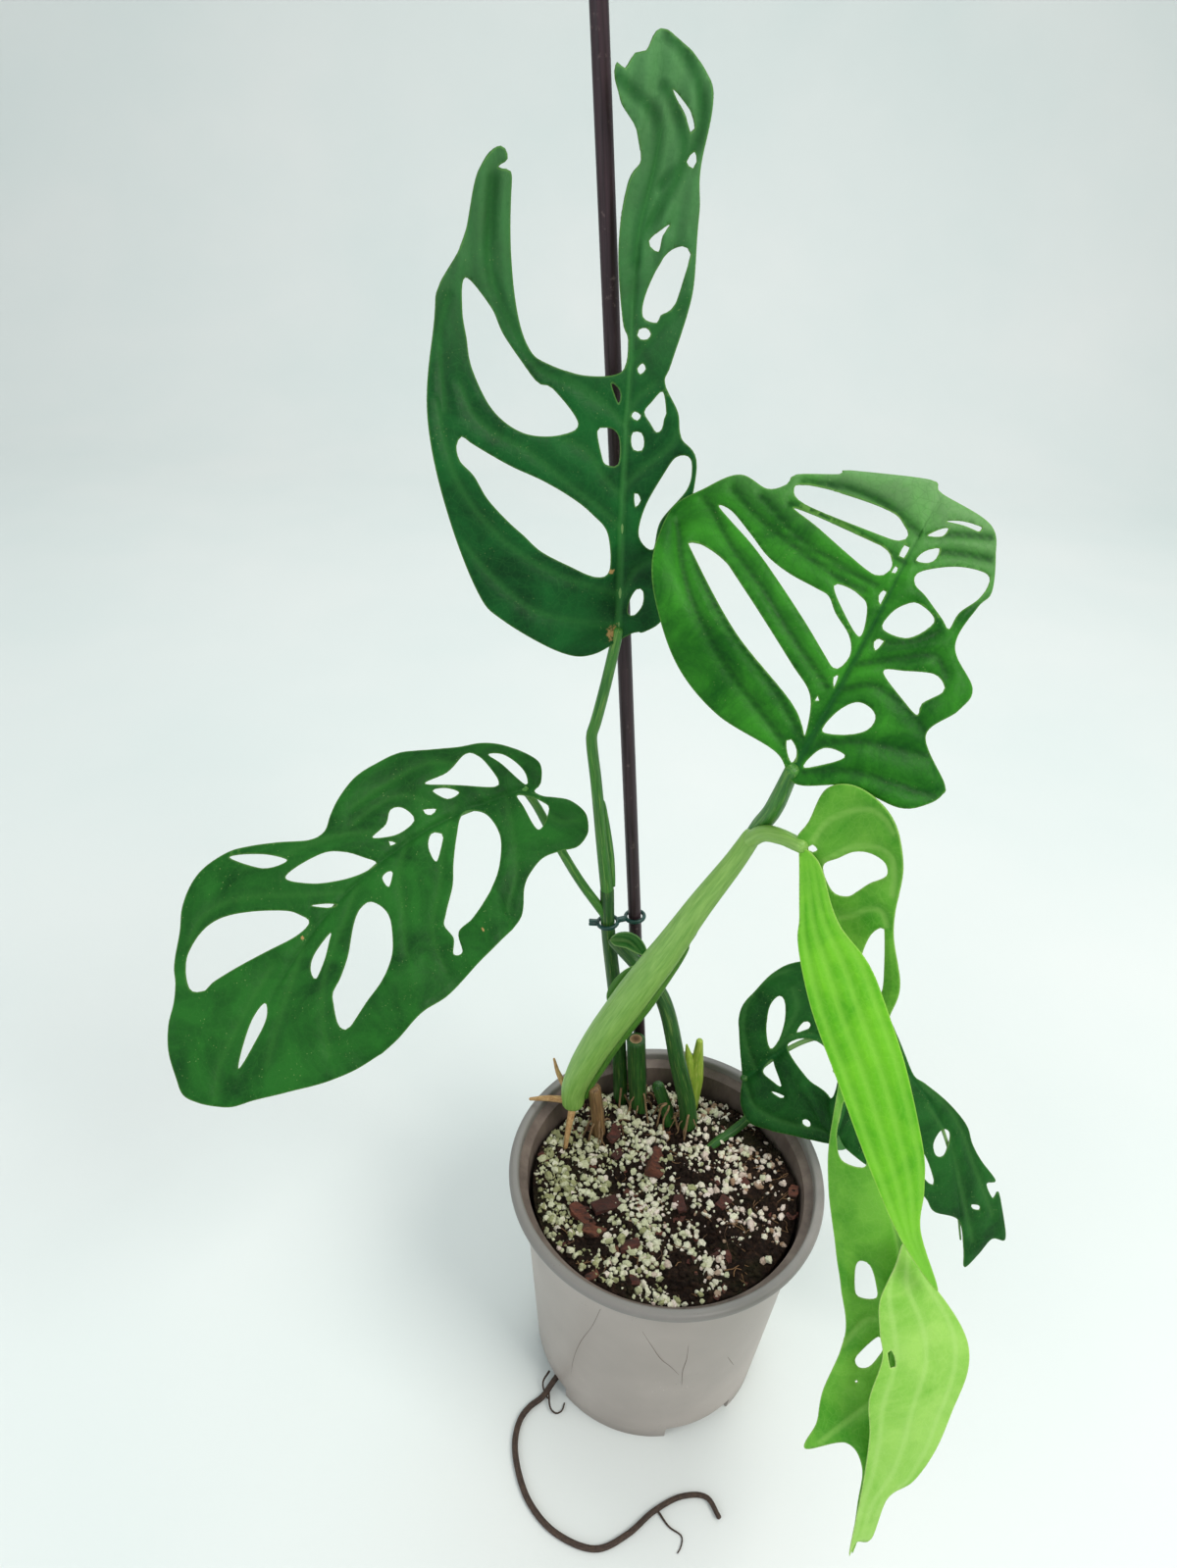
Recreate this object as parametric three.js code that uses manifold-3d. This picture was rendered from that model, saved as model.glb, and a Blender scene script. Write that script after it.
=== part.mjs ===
// A young climbing aroid with five perforated leaves in a taupe nursery pot, tied to a thin dark cane.
// Millimetres, +Z up. The origin is the middle of the pot's foot, and the plant's front looks along -Y.
import * as THREE from 'three';
import { mergeVertices } from 'three/addons/utils/BufferGeometryUtils.js';
import Module from 'manifold-3d';

const wasm = await Module();
wasm.setup();

// The pot: a 13 cm nursery pot with a rolled lip and four notches in its foot ring.
const POT_HEIGHT = 118;
const RIM_RADIUS = 65;
const RIM_INNER_RADIUS = 60.9;
const LIP_HEIGHT = 4;
const WALL = 1.5;
const WALL_TOP_RADIUS = 58.9;
const FOOT_RADIUS = 50.6;
const FOOT_RING_WIDTH = 3.2;
const BASE_LIFT = 8;
const PAD_RADIUS = 14;
const NOTCH_HEIGHT = 7.9;
const NOTCH_WIDTH_DEG = 37;
const FIRST_NOTCH_DEG = 26;
const NOTCHES = 4;
const DRAIN_HOLES = 8;
const DRAIN_RADIUS = 3.5;
const DRAIN_CIRCLE = 34;
const POT_SIDES = 56;

// The soil fills the pot almost to its lip and falls a little towards the back.
const SOIL_LEVEL = 106;
const SOIL_SLOPE = -0.05;
const SOIL_RINGS = 5;
const SOIL_SIDES = 40;

const GAP = 0.3;
const BLADE = 0.8;
const LEAF_EDGE_STEP = 5;
const LEAF_INNER_STEP = 11;

// The cane leans to the left and a little back. Its foot stands in the soil.
const CANE_RADIUS = 2.6;
const CANE_FOOT = [-4.4, 47.6, 60];
const CANE_TOP = [-56.5, 64.4, 600];

// The upper leaf stands against the cane, with a torn finger on its left half.
const UPPER = {
  stations: [
    { rib: [-33, 36, 340], faces: [0.1, -1, 0.16], fold: [12, 12], curl: [-1, -2] },
    { rib: [-34, 43, 386], faces: [0.1, -1, 0.16], fold: [10, 14], curl: [-1, -3] },
    { rib: [-34, 49, 422], faces: [0.1, -1, 0.16], fold: [6, 14], curl: [-1, -4] },
    { rib: [-34, 54, 453], faces: [0.1, -1, 0.16], fold: [0, 10], curl: [0, -4] },
    { rib: [-30, 55, 477], faces: [0.3, -1, 0.1], fold: [0, 10], curl: [0, -3] },
    { rib: [-27, 52, 500], faces: [0.2, -1, 0.2], fold: [0, 0], curl: [0, 0] },
  ],
  wave: [2, 60, 0],
  outline: [
    [-5, -8], [-3.5, -19.5], [8, -38], [16.5, -45.5], [38.5, -53.5], [68.5, -59.5], [95.5, -57],
    [102.5, -55.5], [112.5, -48.5], [124, -46.5], [129.5, -42], [127.5, -39.5], [125, -41.5],
    [125, -38], [119, -36.5], [97.5, -33.5], [87, -30], [83, -25], [80, -13.5], [81.5, -2.5],
    [90, -1], [95.5, -3], [114.5, -5.5], [129.5, -6], [135.5, -4], [143, -7.5], [148, -12],
    [153.5, -15], [157, -15], [156, -12.5], [159.5, -10.5], [160.5, -8], [165.5, -3.5],
    [155.5, 11], [136.5, 12.5], [126, 15.5], [104.5, 17], [84.5, 12], [79, 10.5], [71, 15],
    [64, 16.5], [55.5, 22], [27, 18.5], [8.5, 15], [2.5, 8.5], [2, 5],
  ],
  windows: [
    [
      [62, -49.5], [59.5, -51], [55.5, -50], [51.5, -46], [45, -42], [38.5, -36], [34, -31],
      [29, -25.5], [24.5, -17], [20.5, -8], [22.5, -3.5], [34, -4.5], [40, -9.5], [45, -16],
      [50, -25], [54, -34.5], [57.5, -41.5], [60.5, -47],
    ],
    [
      [104.5, -48], [98, -41], [90, -37], [78, -28], [76, -23], [66.5, -15], [63, -21],
      [63.5, -31.5], [69.5, -40.5], [80.5, -46.5], [89.5, -48], [97, -49],
    ],
    [[64.5, -9], [65.5, -7], [65, -4], [62, -2], [55, -2], [55, -6], [58, -7.5]],
    [[78, -5.5], [77, -3.5], [75, -2.5], [72.5, -3]],
    [
      [33.5, 5.5], [42.5, 7], [53.5, 12.5], [58, 15.5], [58.5, 19], [55.5, 20.5], [48.5, 19.5],
      [38.5, 12], [29.5, 10],
    ],
    [[76.5, 10], [70.5, 11.5], [69, 11], [66, 10.5], [65, 9], [67.5, 7], [70.5, 5], [73.5, 7]],
    [[69.5, 4], [68, 3], [69, 1], [70.5, 2]],
    [[62, 5.5], [59.5, 5], [59.5, 2.5], [62, 1.5], [64.5, 2], [64.5, 4.5]],
    [[44.5, 5.5], [42.5, 4], [46.5, 3.5], [46.5, 4.5]],
    [[11.5, 7.5], [8, 5], [8.5, 3], [13, 3.5], [16.5, 5.5], [16, 7.5]],
    [[92, 5.5], [90.5, 4.5], [90.5, 2.5], [91.5, 1.5], [93, 2], [93.5, 4]],
    [[82.5, 4.5], [81, 3], [82.5, 2], [84, 3.5]],
    [
      [102.5, 3.5], [113, 8], [116.5, 12.5], [115, 15], [112.5, 15], [100, 12], [97, 8], [95, 7],
      [96.5, 3],
    ],
    [[116.5, 3], [122, 8], [118.5, 6.5], [114, 6]],
    [[137.5, 8.5], [140, 10], [138, 11], [136.5, 10.5]],
    [[153, 1], [148.5, 7], [145, 9], [144, 8], [147.5, 5.5]],
  ],
};

// The left leaf hangs to the left and shows its upper side.
const LEFT = {
  stations: [
    { rib: [-62, 42.1, 275], faces: [0.1, -0.62, 0.78], fold: [8, 8], curl: [-1, -3] },
    { rib: [-89.6, 28.6, 269.2], faces: [0.1, -0.62, 0.78], fold: [8, 8], curl: [-1, -3] },
    { rib: [-112.3, 12.6, 259.7], faces: [0.1, -0.62, 0.78], fold: [8, 6], curl: [-1, -2] },
    { rib: [-130.2, -6.1, 246.4], faces: [0.1, -0.62, 0.78], fold: [7, 6], curl: [-1, -2] },
    { rib: [-143.3, -27.3, 229.4], faces: [0.1, -0.62, 0.78], fold: [5, 5], curl: [-1, -2] },
    { rib: [-151.6, -51.2, 208.7], faces: [0.1, -0.62, 0.78], fold: [4, 4], curl: [-1, -1] },
  ],
  wave: [3, 55, 1],
  outline: [
    [-1.5, -2], [-3.5, -5], [-7, -7], [-12, -10.5], [-15, -17], [-13.5, -23], [-11, -26], [-6.5, -28],
    [-0.5, -27], [5.5, -27], [11.5, -30.5], [15.5, -34.5], [22, -44], [36.5, -48], [54.5, -50],
    [79, -50.5], [95, -47], [112.5, -44], [128.5, -37.5], [138, -28.5], [145.5, -16], [150.5, -7],
    [154.5, -1], [156, 4.5], [156.5, 10], [155.5, 15.5], [150.5, 20], [143.5, 25], [136, 28],
    [129.5, 29], [124.5, 31], [120.5, 34], [112.5, 37.5], [106.5, 41.5], [100, 44], [94.5, 44],
    [88, 41], [83.5, 36.5], [78, 30], [71.5, 22.5], [66.5, 21], [62, 24], [57, 27], [49.5, 30],
    [42.5, 30.5], [34.5, 30], [26.5, 26], [18.5, 23], [10.5, 21.5], [3.5, 18.5], [-3, 13.5], [-7.5, 7],
    [-5, 0],
  ],
  windows: [
    [[32.5, 15], [25, 15.5], [17, 19.5], [13, 17], [10.5, 11], [9.5, 6], [11.5, 4.5], [20, 8]],
    [[9.5, 16.5], [4.5, 15], [0.5, 10], [-1, 5], [0.5, 1.5], [6, 11.5]],
    [[31.5, 11.5], [27.5, 10.5], [24, 7], [28.5, 6.5]],
    [[37.5, 7], [33.5, 5], [36, 4], [37.5, 5.5]],
    [[56.5, 8.5], [50.5, 9.5], [46.5, 13], [43, 11.5], [41.5, 6.5], [43.5, 4.5], [50, 4.5]],
    [[51.5, 2], [53.5, 2.5], [53, 4], [52, 3]],
    [[84, 19.5], [72, 16], [66.5, 11], [63, 5], [61, 0.5], [66.5, 1], [73.5, 4.5], [80.5, 11]],
    [[89, 39.5], [83, 31], [80, 23], [86, 27.5]],
    [[86, 6], [82, 2], [80.5, -0.5], [83, 1]],
    [
      [116.5, 31.5], [104.5, 29], [93, 13.5], [90.5, 6.5], [91, 3], [97, 4], [106, 9.5], [121, 20],
      [123.5, 21], [124.5, 26],
    ],
    [[104, -7], [99, -5], [89.5, -5], [92, -6.5], [98.5, -9], [105.5, -10]],
    [[142.5, 1.5], [128.5, 3], [120.5, 1.5], [124, -1], [130.5, -1]],
    [
      [107, -17.5], [100.5, -17], [91.5, -14.5], [81, -9], [76, -7.5], [72, -8.5], [70.5, -14],
      [73, -19.5], [81.5, -26.5], [92.5, -29.5], [104.5, -29], [115.5, -28], [117.5, -26], [116, -23.5],
      [110.5, -19.5],
    ],
    [[63, -5], [60, -4.5], [59, -6], [63.5, -9]],
    [[43, -6], [39.5, -2], [37, -3], [36.5, -5.5], [43.5, -12]],
    [
      [44, -23], [38.5, -16], [31.5, -7], [26.5, -1], [22, -1], [18, -4.5], [16.5, -12], [18.5, -19],
      [24.5, -27], [35, -33], [45, -36.5], [54, -37.5], [58.5, -43.5], [62.5, -42], [57.5, -38],
      [57, -32.5], [53, -29.5],
    ],
    [[5, -1], [1, -3.5], [-2, -6.5], [-3.5, -10.5], [3, -16.5], [4.5, -6]],
  ],
};

// The right leaf stands up and folds down along its right margin.
const RIGHT = {
  stations: [
    { rib: [20, -12, 321], faces: [-0.33, -0.78, 0.55], fold: [16, -6], curl: [0, -3] },
    { rib: [32, -1, 344], faces: [-0.33, -0.78, 0.55], fold: [18, -10], curl: [0, -4] },
    { rib: [42, 9, 364], faces: [-0.33, -0.78, 0.55], fold: [16, -14], curl: [-1, -5] },
    { rib: [50, 18, 380], faces: [-0.33, -0.78, 0.55], fold: [10, -16], curl: [-1, -6] },
    { rib: [60, 30, 397], faces: [-0.28, -0.72, 0.65], fold: [4, -18], curl: [-2, -8] },
  ],
  wave: [2.5, 50, 2],
  outline: [
    [4, -7], [5.5, -28], [12.5, -45.5], [25, -58], [41.5, -67.5], [57, -71], [67, -63],
    [73.5, -55], [73, -46], [76.5, -41.5], [80.5, -40.5], [86.5, -29.5], [89, -27.5], [96, -5],
    [93.5, -0], [93, 17.5], [86, 23.5], [76, 27.5], [69, 25.5], [55.5, 24.5], [47, 35.5],
    [39.5, 34.5], [29, 29], [19.5, 41], [16.5, 42], [12, 39.5], [7, 32.5], [5.5, 16.5],
    [-1.5, 2.5],
  ],
  windows: [
    [
      [48.5, -60], [49.5, -56], [48, -48], [44.5, -41.5], [30, -17], [23.5, -6.5], [12.5, -2],
      [14.5, -4], [19.5, -11], [29.5, -34], [45.5, -57],
    ],
    [
      [63.5, -57.5], [63.5, -53], [59.5, -45], [55, -37], [53, -29], [52.5, -20], [52, -15.5],
      [48.5, -11.5], [44.5, -5], [40, -2], [35.5, -2.5], [34, -4.5], [36.5, -9], [41.5, -17],
      [46.5, -25.5], [52.5, -36], [57, -44], [60.5, -51.5],
    ],
    [[55.5, -15.5], [57, -13], [56.5, -8], [54, -4], [45.5, -2], [51, -11]],
    [
      [71.5, -36], [72, -13.5], [71.5, -6], [68, -3], [65.5, -3.5], [64, -5], [64, -9.5],
      [69, -27],
    ],
    [
      [76.5, -39], [79, -36.5], [81, -28], [82.5, -11], [80.5, -5.5], [78, -3], [75.5, -4.5],
      [74.5, -11.5], [73.5, -34],
    ],
    [[7.5, -2], [4.5, -0.5], [3.5, -1.5], [5.5, -4], [8.5, -6], [9.5, -5]],
    [[29, -1.5], [31.5, -3], [32.5, -2.5], [32.5, -2]],
    [[23.5, -3.5], [23, -4.5], [24.5, -4.5], [24, -4]],
    [[56.5, -1], [58.5, -2.5], [60.5, -2], [60.5, -1]],
    [[66.2, -2.2], [66.5, -1.2], [68.2, -1], [68.4, -2]],
    [[71.5, -1], [71.5, -2.5], [75, -2.5], [75, -1]],
    [[44, 4], [46, 2.5], [47.5, 3.5], [47.5, 5]],
    [[4, 2.5], [9, 3], [12.5, 5.5], [13, 11], [10, 9.5]],
    [[16, 2], [20.5, 2], [25.5, 4], [28.5, 7], [28.5, 11], [26.5, 13.5], [22.5, 13], [18.5, 8.5]],
    [
      [39.5, 9], [42.5, 14.5], [45.5, 22.5], [44.5, 26.5], [42, 27.5], [36.5, 23.5], [33, 24],
      [34.5, 19],
    ],
    [[50.5, 3], [55.5, 3], [59.5, 5.5], [61.5, 9], [59, 15.5], [51.5, 11]],
    [
      [69, 4.5], [73, 8.5], [77.5, 15.5], [80, 23.5], [77.5, 25.5], [71.5, 24.5], [64.5, 21],
      [59, 20.5], [60.5, 17.5], [62.5, 13.5], [64.5, 9.5], [66, 5.5],
    ],
    [[72.5, 2.5], [76, 3.5], [79, 7], [76, 7.5], [73.5, 6]],
    [[80.5, 2], [83.5, 4], [85.5, 6.5], [82.5, 6]],
    [[87, 5], [89.5, 9.5], [91, 15.5], [89.5, 15.5], [88.5, 10]],
  ],
};

// The low leaf arches to the right over the rim of the pot.
const LOW = {
  stations: [
    { rib: [32.5, 34, 133], faces: [-0.1, -0.6, 0.8], fold: [10, 10], curl: [-2, -2] },
    { rib: [48.5, 35.5, 152.5], faces: [-0.1, -0.6, 0.8], fold: [10, 10], curl: [-2, -2] },
    { rib: [63.5, 33.5, 164], faces: [-0.1, -0.6, 0.8], fold: [8, 6], curl: [-2, -2] },
    { rib: [82, 28.5, 165], faces: [-0.1, -0.6, 0.8], fold: [4, 4], curl: [-2, -2] },
    { rib: [100.5, 19, 154], faces: [0.1, -0.7, 0.7], fold: [0, 0], curl: [-3, -3] },
    { rib: [116.5, 6.5, 130.5], faces: [0.2, -0.8, 0.6], fold: [0, 0], curl: [-3, -3] },
    { rib: [128.5, -14.5, 82], faces: [0.2, -0.9, 0.4], fold: [0, 0], curl: [-3, -3] },
  ],
  wave: [3, 45, 0],
  outline: [
    [1.5, -1.5], [13, -15.5], [17, -21], [21.5, -25], [28, -27.5], [35, -30.5], [40, -31.5],
    [48, -29.5], [58, -21], [70, -9], [83, -1.5], [90.5, -3], [105, -7.5], [114, -10], [121, -10],
    [129, -12.5], [139.5, -18], [139.5, -13.5], [147, -16], [145, -19], [159, -20.5],
    [167.5, -19.5], [165, -13.5], [170, -6.5], [174, 0.5], [166, -0], [152, 1], [145, 11.5],
    [138, 14.5], [128, 21], [118.5, 30.5], [99.5, 38], [37, 45.5], [20.5, 41], [12, 35.5],
    [5.5, 29.5], [-1.5, 22.5], [-7.5, 15.5], [-6.5, 8], [-3, 3],
  ],
  windows: [
    [[24, -12], [29, -18.5], [33.5, -20.5], [34, -16.5], [31, -10], [25, -4.5], [20, -3.5]],
    [[33.5, -4], [37.5, -7], [39.5, -6], [38.5, -4]],
    [
      [26.5, 0], [31.5, -1.5], [38, 0.5], [44, 5], [50.5, 14.5], [46, 25], [32.5, 18.5],
      [28, 10.5],
    ],
    [[11, 2], [17.5, 0.5], [17, 3.5], [14.5, 11.5], [12, 7]],
    [[114.5, 7], [111, 4], [110, 0.5], [112.5, -1.5], [116.5, -0], [121, 4], [119.5, 7]],
    [[116, 12.5], [118.5, 11.5], [131, 10], [132, 11.5], [127, 14]],
    [[150, -9], [148.5, -6], [146.5, -5.5], [148, -9]],
    [[13, 15.5], [11, 15], [9, 11], [10.5, 12]],
    [[16, 31], [14, 30.5], [13, 28.5], [14, 27.5], [16, 28], [17, 29.5]],
  ],
};

// The far half of the young leaf, from its base lobe down to its tip.
const YOUNG_BACK = {
  stations: [
    { rib: [26.5, -17.5, 297], faces: [-0.45, -0.7, 0.55], fold: [0, 0], curl: [7, 0] },
    { rib: [40, -30, 264], faces: [-0.45, -0.8, 0.45], fold: [0, 0], curl: [4, 0] },
    { rib: [52, -46.5, 229], faces: [-0.35, -0.85, 0.4], fold: [0, 0], curl: [0, 0] },
    { rib: [62.5, -63, 197], faces: [-0.25, -0.85, 0.4], fold: [0, 0], curl: [0, 0] },
    { rib: [69.5, -76, 172], faces: [-0.25, -0.85, 0.4], fold: [0, 0], curl: [0, 0] },
    { rib: [68, -92.5, 143], faces: [-0.25, -0.85, 0.4], fold: [0, 0], curl: [0, 0] },
    { rib: [64, -109.5, 113], faces: [-0.2, -0.85, 0.4], fold: [0, 0], curl: [0, 0] },
    { rib: [60.5, -124, 86], faces: [-0.1, -0.85, 0.4], fold: [0, 0], curl: [0, 0] },
  ],
  wave: [4, 60, 0],
  outline: [
    [-3.5, 1], [-9, -4.5], [-18.5, -13], [-17.5, -23], [-7.5, -31], [8, -30], [29, -21],
    [48, -18.5], [59, -12.5], [72, -7.5], [90, -4.5], [133.5, -3], [207, -3], [226, -2.5],
    [244.5, -0.5], [228, 1], [214, 2], [207.5, 8.5], [213.5, 21], [203.5, 19], [192, 19],
    [171.5, 15], [154.5, 18.5], [136.5, 20], [105, 16.5], [77, 7], [54.5, 2.5], [7.5, 1],
  ],
  windows: [
    [
      [6, -5], [4, -10.5], [2.5, -16], [3.5, -21], [7, -24.5], [11.5, -23.5], [13.5, -17.5],
      [15.5, -13.5], [17, -9.5], [14.5, -5.5],
    ],
    [[-1.5, -3.8], [-1, -2.2], [0.2, -2], [0.9, -3], [0.3, -4.8]],
    [
      [29, -18], [28.5, -17], [30.5, -13.5], [36, -9.5], [45, -5], [55, -4.5], [55.5, -8.5],
      [49, -12.5], [43, -14.5],
    ],
    [[85, 6.5], [91.5, 4.5], [103.5, 4], [108.5, 5.5], [105.5, 12], [97.5, 12], [90.5, 9.5]],
    [[145.5, 14], [142.5, 12.5], [144, 9.5], [150.5, 7.5], [156, 7], [157, 12.5], [153, 14]],
    [[179, 10.5], [176, 9.5], [169, 4.5], [172, 2.5], [175.5, 3.5], [180, 6], [181, 9]],
    [[186, 8.5], [186.5, 9], [186, 9.5], [185.5, 9]],
  ],
};

// The bright strap of the young leaf's near half.
const YOUNG_STRAP = {
  stations: [
    { rib: [26, -17.5, 298.5], faces: [-0.5, -0.7, 0.5], fold: [0, 0], curl: [-6, -6] },
    { rib: [29.5, -34, 283], faces: [-0.3, -0.75, 0.5], fold: [0, 0], curl: [-6, -6] },
    { rib: [35.5, -50, 266.5], faces: [-0.2, -0.8, 0.5], fold: [0, 0], curl: [-6, -6] },
    { rib: [45.5, -63.5, 248], faces: [-0.1, -0.8, 0.5], fold: [0, 0], curl: [-6, -6] },
    { rib: [55.5, -74, 226.5], faces: [0, -0.8, 0.5], fold: [0, 0], curl: [-6, -6] },
    { rib: [65.5, -82, 204.5], faces: [0.1, -0.8, 0.5], fold: [0, 0], curl: [-6, -6] },
    { rib: [77.5, -88, 181], faces: [0.2, -0.8, 0.5], fold: [0, 0], curl: [0, 0] },
  ],
  wave: [0, 50, 0],
  outline: [
    [-1, 1.5], [1.5, 1], [20, 3.5], [33, 6], [80.5, 7], [123.5, 5], [150, 0.5], [126, -2],
    [112.5, -7.5], [94.5, -11.5], [45.5, -14.5], [24.5, -7.5], [8.5, -5.5], [2.5, -3],
  ],
  windows: [
  ],
};

// The lower lobe of the young leaf's near half, which shows its pale underside.
const YOUNG_LOBE = {
  stations: [
    { rib: [67.5, -76.5, 190.5], faces: [0.25, -0.85, 0.5], fold: [0, 0], curl: [-4, -4] },
    { rib: [73.5, -89, 169], faces: [0.2, -0.85, 0.5], fold: [0, 0], curl: [-4, -5] },
    { rib: [73.5, -101.5, 146], faces: [0.1, -0.85, 0.5], fold: [0, 0], curl: [-4, -5] },
    { rib: [68.5, -113, 118.5], faces: [0.1, -0.85, 0.5], fold: [0, 0], curl: [-4, -4] },
    { rib: [60, -124.5, 85], faces: [0.1, -0.85, 0.5], fold: [0, 0], curl: [-4, -4] },
  ],
  wave: [6, 45, 0],
  outline: [
    [7.5, 5], [1.5, 1], [1, -3.5], [8.5, -5.5], [18, -6.5], [37.5, -17.5], [57.5, -15.5],
    [71.5, -14], [84.5, -10], [93, -4], [110.5, -5], [113, -0.5], [118.5, -0], [92, 5.5],
    [71.5, 9.5], [56.5, 13.5], [40.5, 11.5], [30.5, 13], [17.5, 12.5],
  ],
  windows: [
    [[40.5, 7.5], [43.5, 7], [44, 8.5], [38.5, 10], [37.5, 9]],
  ],
};
const PLASTIC = new THREE.MeshStandardMaterial({ color: 0x9f9892, roughness: 0.45, metalness: 0 });
const SOIL = new THREE.MeshStandardMaterial({ color: 0x3a2c24, roughness: 0.95, metalness: 0 });
const CANE_PLASTIC = new THREE.MeshStandardMaterial({ color: 0x3c2d33, roughness: 0.4, metalness: 0 });
const CLIP = new THREE.MeshStandardMaterial({ color: 0x12402c, roughness: 0.5, metalness: 0 });
const DARK_LEAF = new THREE.MeshStandardMaterial({ color: 0x1c6a2c, roughness: 0.5, metalness: 0 });
const MID_LEAF = new THREE.MeshStandardMaterial({ color: 0x2b7d22, roughness: 0.5, metalness: 0 });
const YOUNG_LEAF = new THREE.MeshStandardMaterial({ color: 0x64b31c, roughness: 0.45, metalness: 0 });
const STEM = new THREE.MeshStandardMaterial({ color: 0x2f7034, roughness: 0.5, metalness: 0 });
const PALE_STEM = new THREE.MeshStandardMaterial({ color: 0x86b65a, roughness: 0.5, metalness: 0 });
const ROOT = new THREE.MeshStandardMaterial({ color: 0xb08a4a, roughness: 0.8, metalness: 0 });
const DARK_ROOT = new THREE.MeshStandardMaterial({ color: 0x33261f, roughness: 0.85, metalness: 0 });

const plant = new THREE.Group();
const radians = THREE.MathUtils.degToRad;

function solidOf(geometry) {
  const bare = geometry.clone();
  bare.deleteAttribute('normal');
  bare.deleteAttribute('uv');
  const merged = mergeVertices(bare, 1e-4);
  return new wasm.Manifold(new wasm.Mesh({
    numProp: 3,
    vertProperties: new Float32Array(merged.attributes.position.array),
    triVerts: new Uint32Array(merged.index.array),
  }));
}

function geometryOf(solid) {
  const mesh = solid.getMesh();
  const geometry = new THREE.BufferGeometry();
  geometry.setAttribute('position', new THREE.BufferAttribute(mesh.vertProperties, 3));
  geometry.setIndex(new THREE.BufferAttribute(mesh.triVerts, 1));
  geometry.computeVertexNormals();
  return geometry;
}

// The largest body of a solid, without the crumbs that a cut may leave.
function mainBody(solid) {
  return solid.decompose().reduce((best, body) => (body.volume() > best.volume() ? body : best));
}

function add(name, geometry, material) {
  const mesh = new THREE.Mesh(geometry, material);
  mesh.name = name;
  plant.add(mesh);
  return mesh;
}

function indexed(positions, faces) {
  const geometry = new THREE.BufferGeometry();
  geometry.setAttribute('position', new THREE.Float32BufferAttribute(positions, 3));
  geometry.setIndex(faces);
  geometry.computeVertexNormals();
  return geometry;
}

// A round stem through hand-placed points, whose radius runs evenly through the given radii. It can be made
// thicker all round, to cut the hole that it stands in.
function stem({ points, radii, sides = 8, steps = 10 }, grow = 0) {
  const knots = points.map((p) => new THREE.Vector3(...p));
  const curve = new THREE.CatmullRomCurve3(knots, false, 'centripetal');
  const frames = curve.computeFrenetFrames(steps, false);
  const positions = [];
  const faces = [];
  const centres = [];
  for (let i = 0; i <= steps; i++) {
    const along = i / steps;
    const place = along * (radii.length - 1);
    const k = Math.min(Math.floor(place), radii.length - 2);
    const radius = THREE.MathUtils.lerp(radii[k], radii[k + 1], place - k) + grow;
    const past = grow * ((i === steps) - (i === 0));
    const centre = curve.getPointAt(along).addScaledVector(frames.tangents[i], past);
    centres.push(centre);
    for (let j = 0; j < sides; j++) {
      const angle = (2 * Math.PI * j) / sides;
      const p = centre.clone()
        .addScaledVector(frames.normals[i], radius * Math.cos(angle))
        .addScaledVector(frames.binormals[i], radius * Math.sin(angle));
      positions.push(p.x, p.y, p.z);
    }
  }
  for (let i = 0; i < steps; i++) {
    for (let j = 0; j < sides; j++) {
      const a = i * sides + j;
      const b = i * sides + ((j + 1) % sides);
      faces.push(a, b, a + sides, b, b + sides, a + sides);
    }
  }
  const start = (steps + 1) * sides;
  positions.push(...centres[0].toArray(), ...centres[steps].toArray());
  for (let j = 0; j < sides; j++) {
    const next = (j + 1) % sides;
    faces.push(start, next, j);
    faces.push(start + 1, steps * sides + j, steps * sides + next);
  }
  return indexed(positions, faces);
}

// A stem whose end is cut to fit against the stems that carry it, with a small gap.
function seated(line, ...carriers) {
  let body = solidOf(stem(line));
  for (const carrier of carriers) body = body.subtract(solidOf(stem(carrier, GAP)));
  return geometryOf(mainBody(body));
}

// The value of a smooth line through key rows at the place t, counted in keys.
function through(keys, t) {
  const last = keys.length - 1;
  const place = Math.min(Math.max(t, 0), last);
  const i = Math.min(Math.floor(place), last - 1);
  const f = place - i;
  const mirrored = (a, b) => a.map((x, k) => 2 * x - b[k]);
  const p0 = i > 0 ? keys[i - 1] : mirrored(keys[0], keys[1]);
  const p1 = keys[i];
  const p2 = keys[i + 1];
  const p3 = i + 2 <= last ? keys[i + 2] : mirrored(keys[last], keys[last - 1]);
  return p1.map((_, k) => smoothStep(p0[k], p1[k], p2[k], p3[k], f));
}

function smoothStep(a, b, c, d, f) {
  const second = 2 * a - 5 * b + 4 * c - d;
  const third = 3 * b - a - 3 * c + d;
  return 0.5 * (2 * b + (c - a) * f + second * f ** 2 + third * f ** 3);
}

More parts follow.
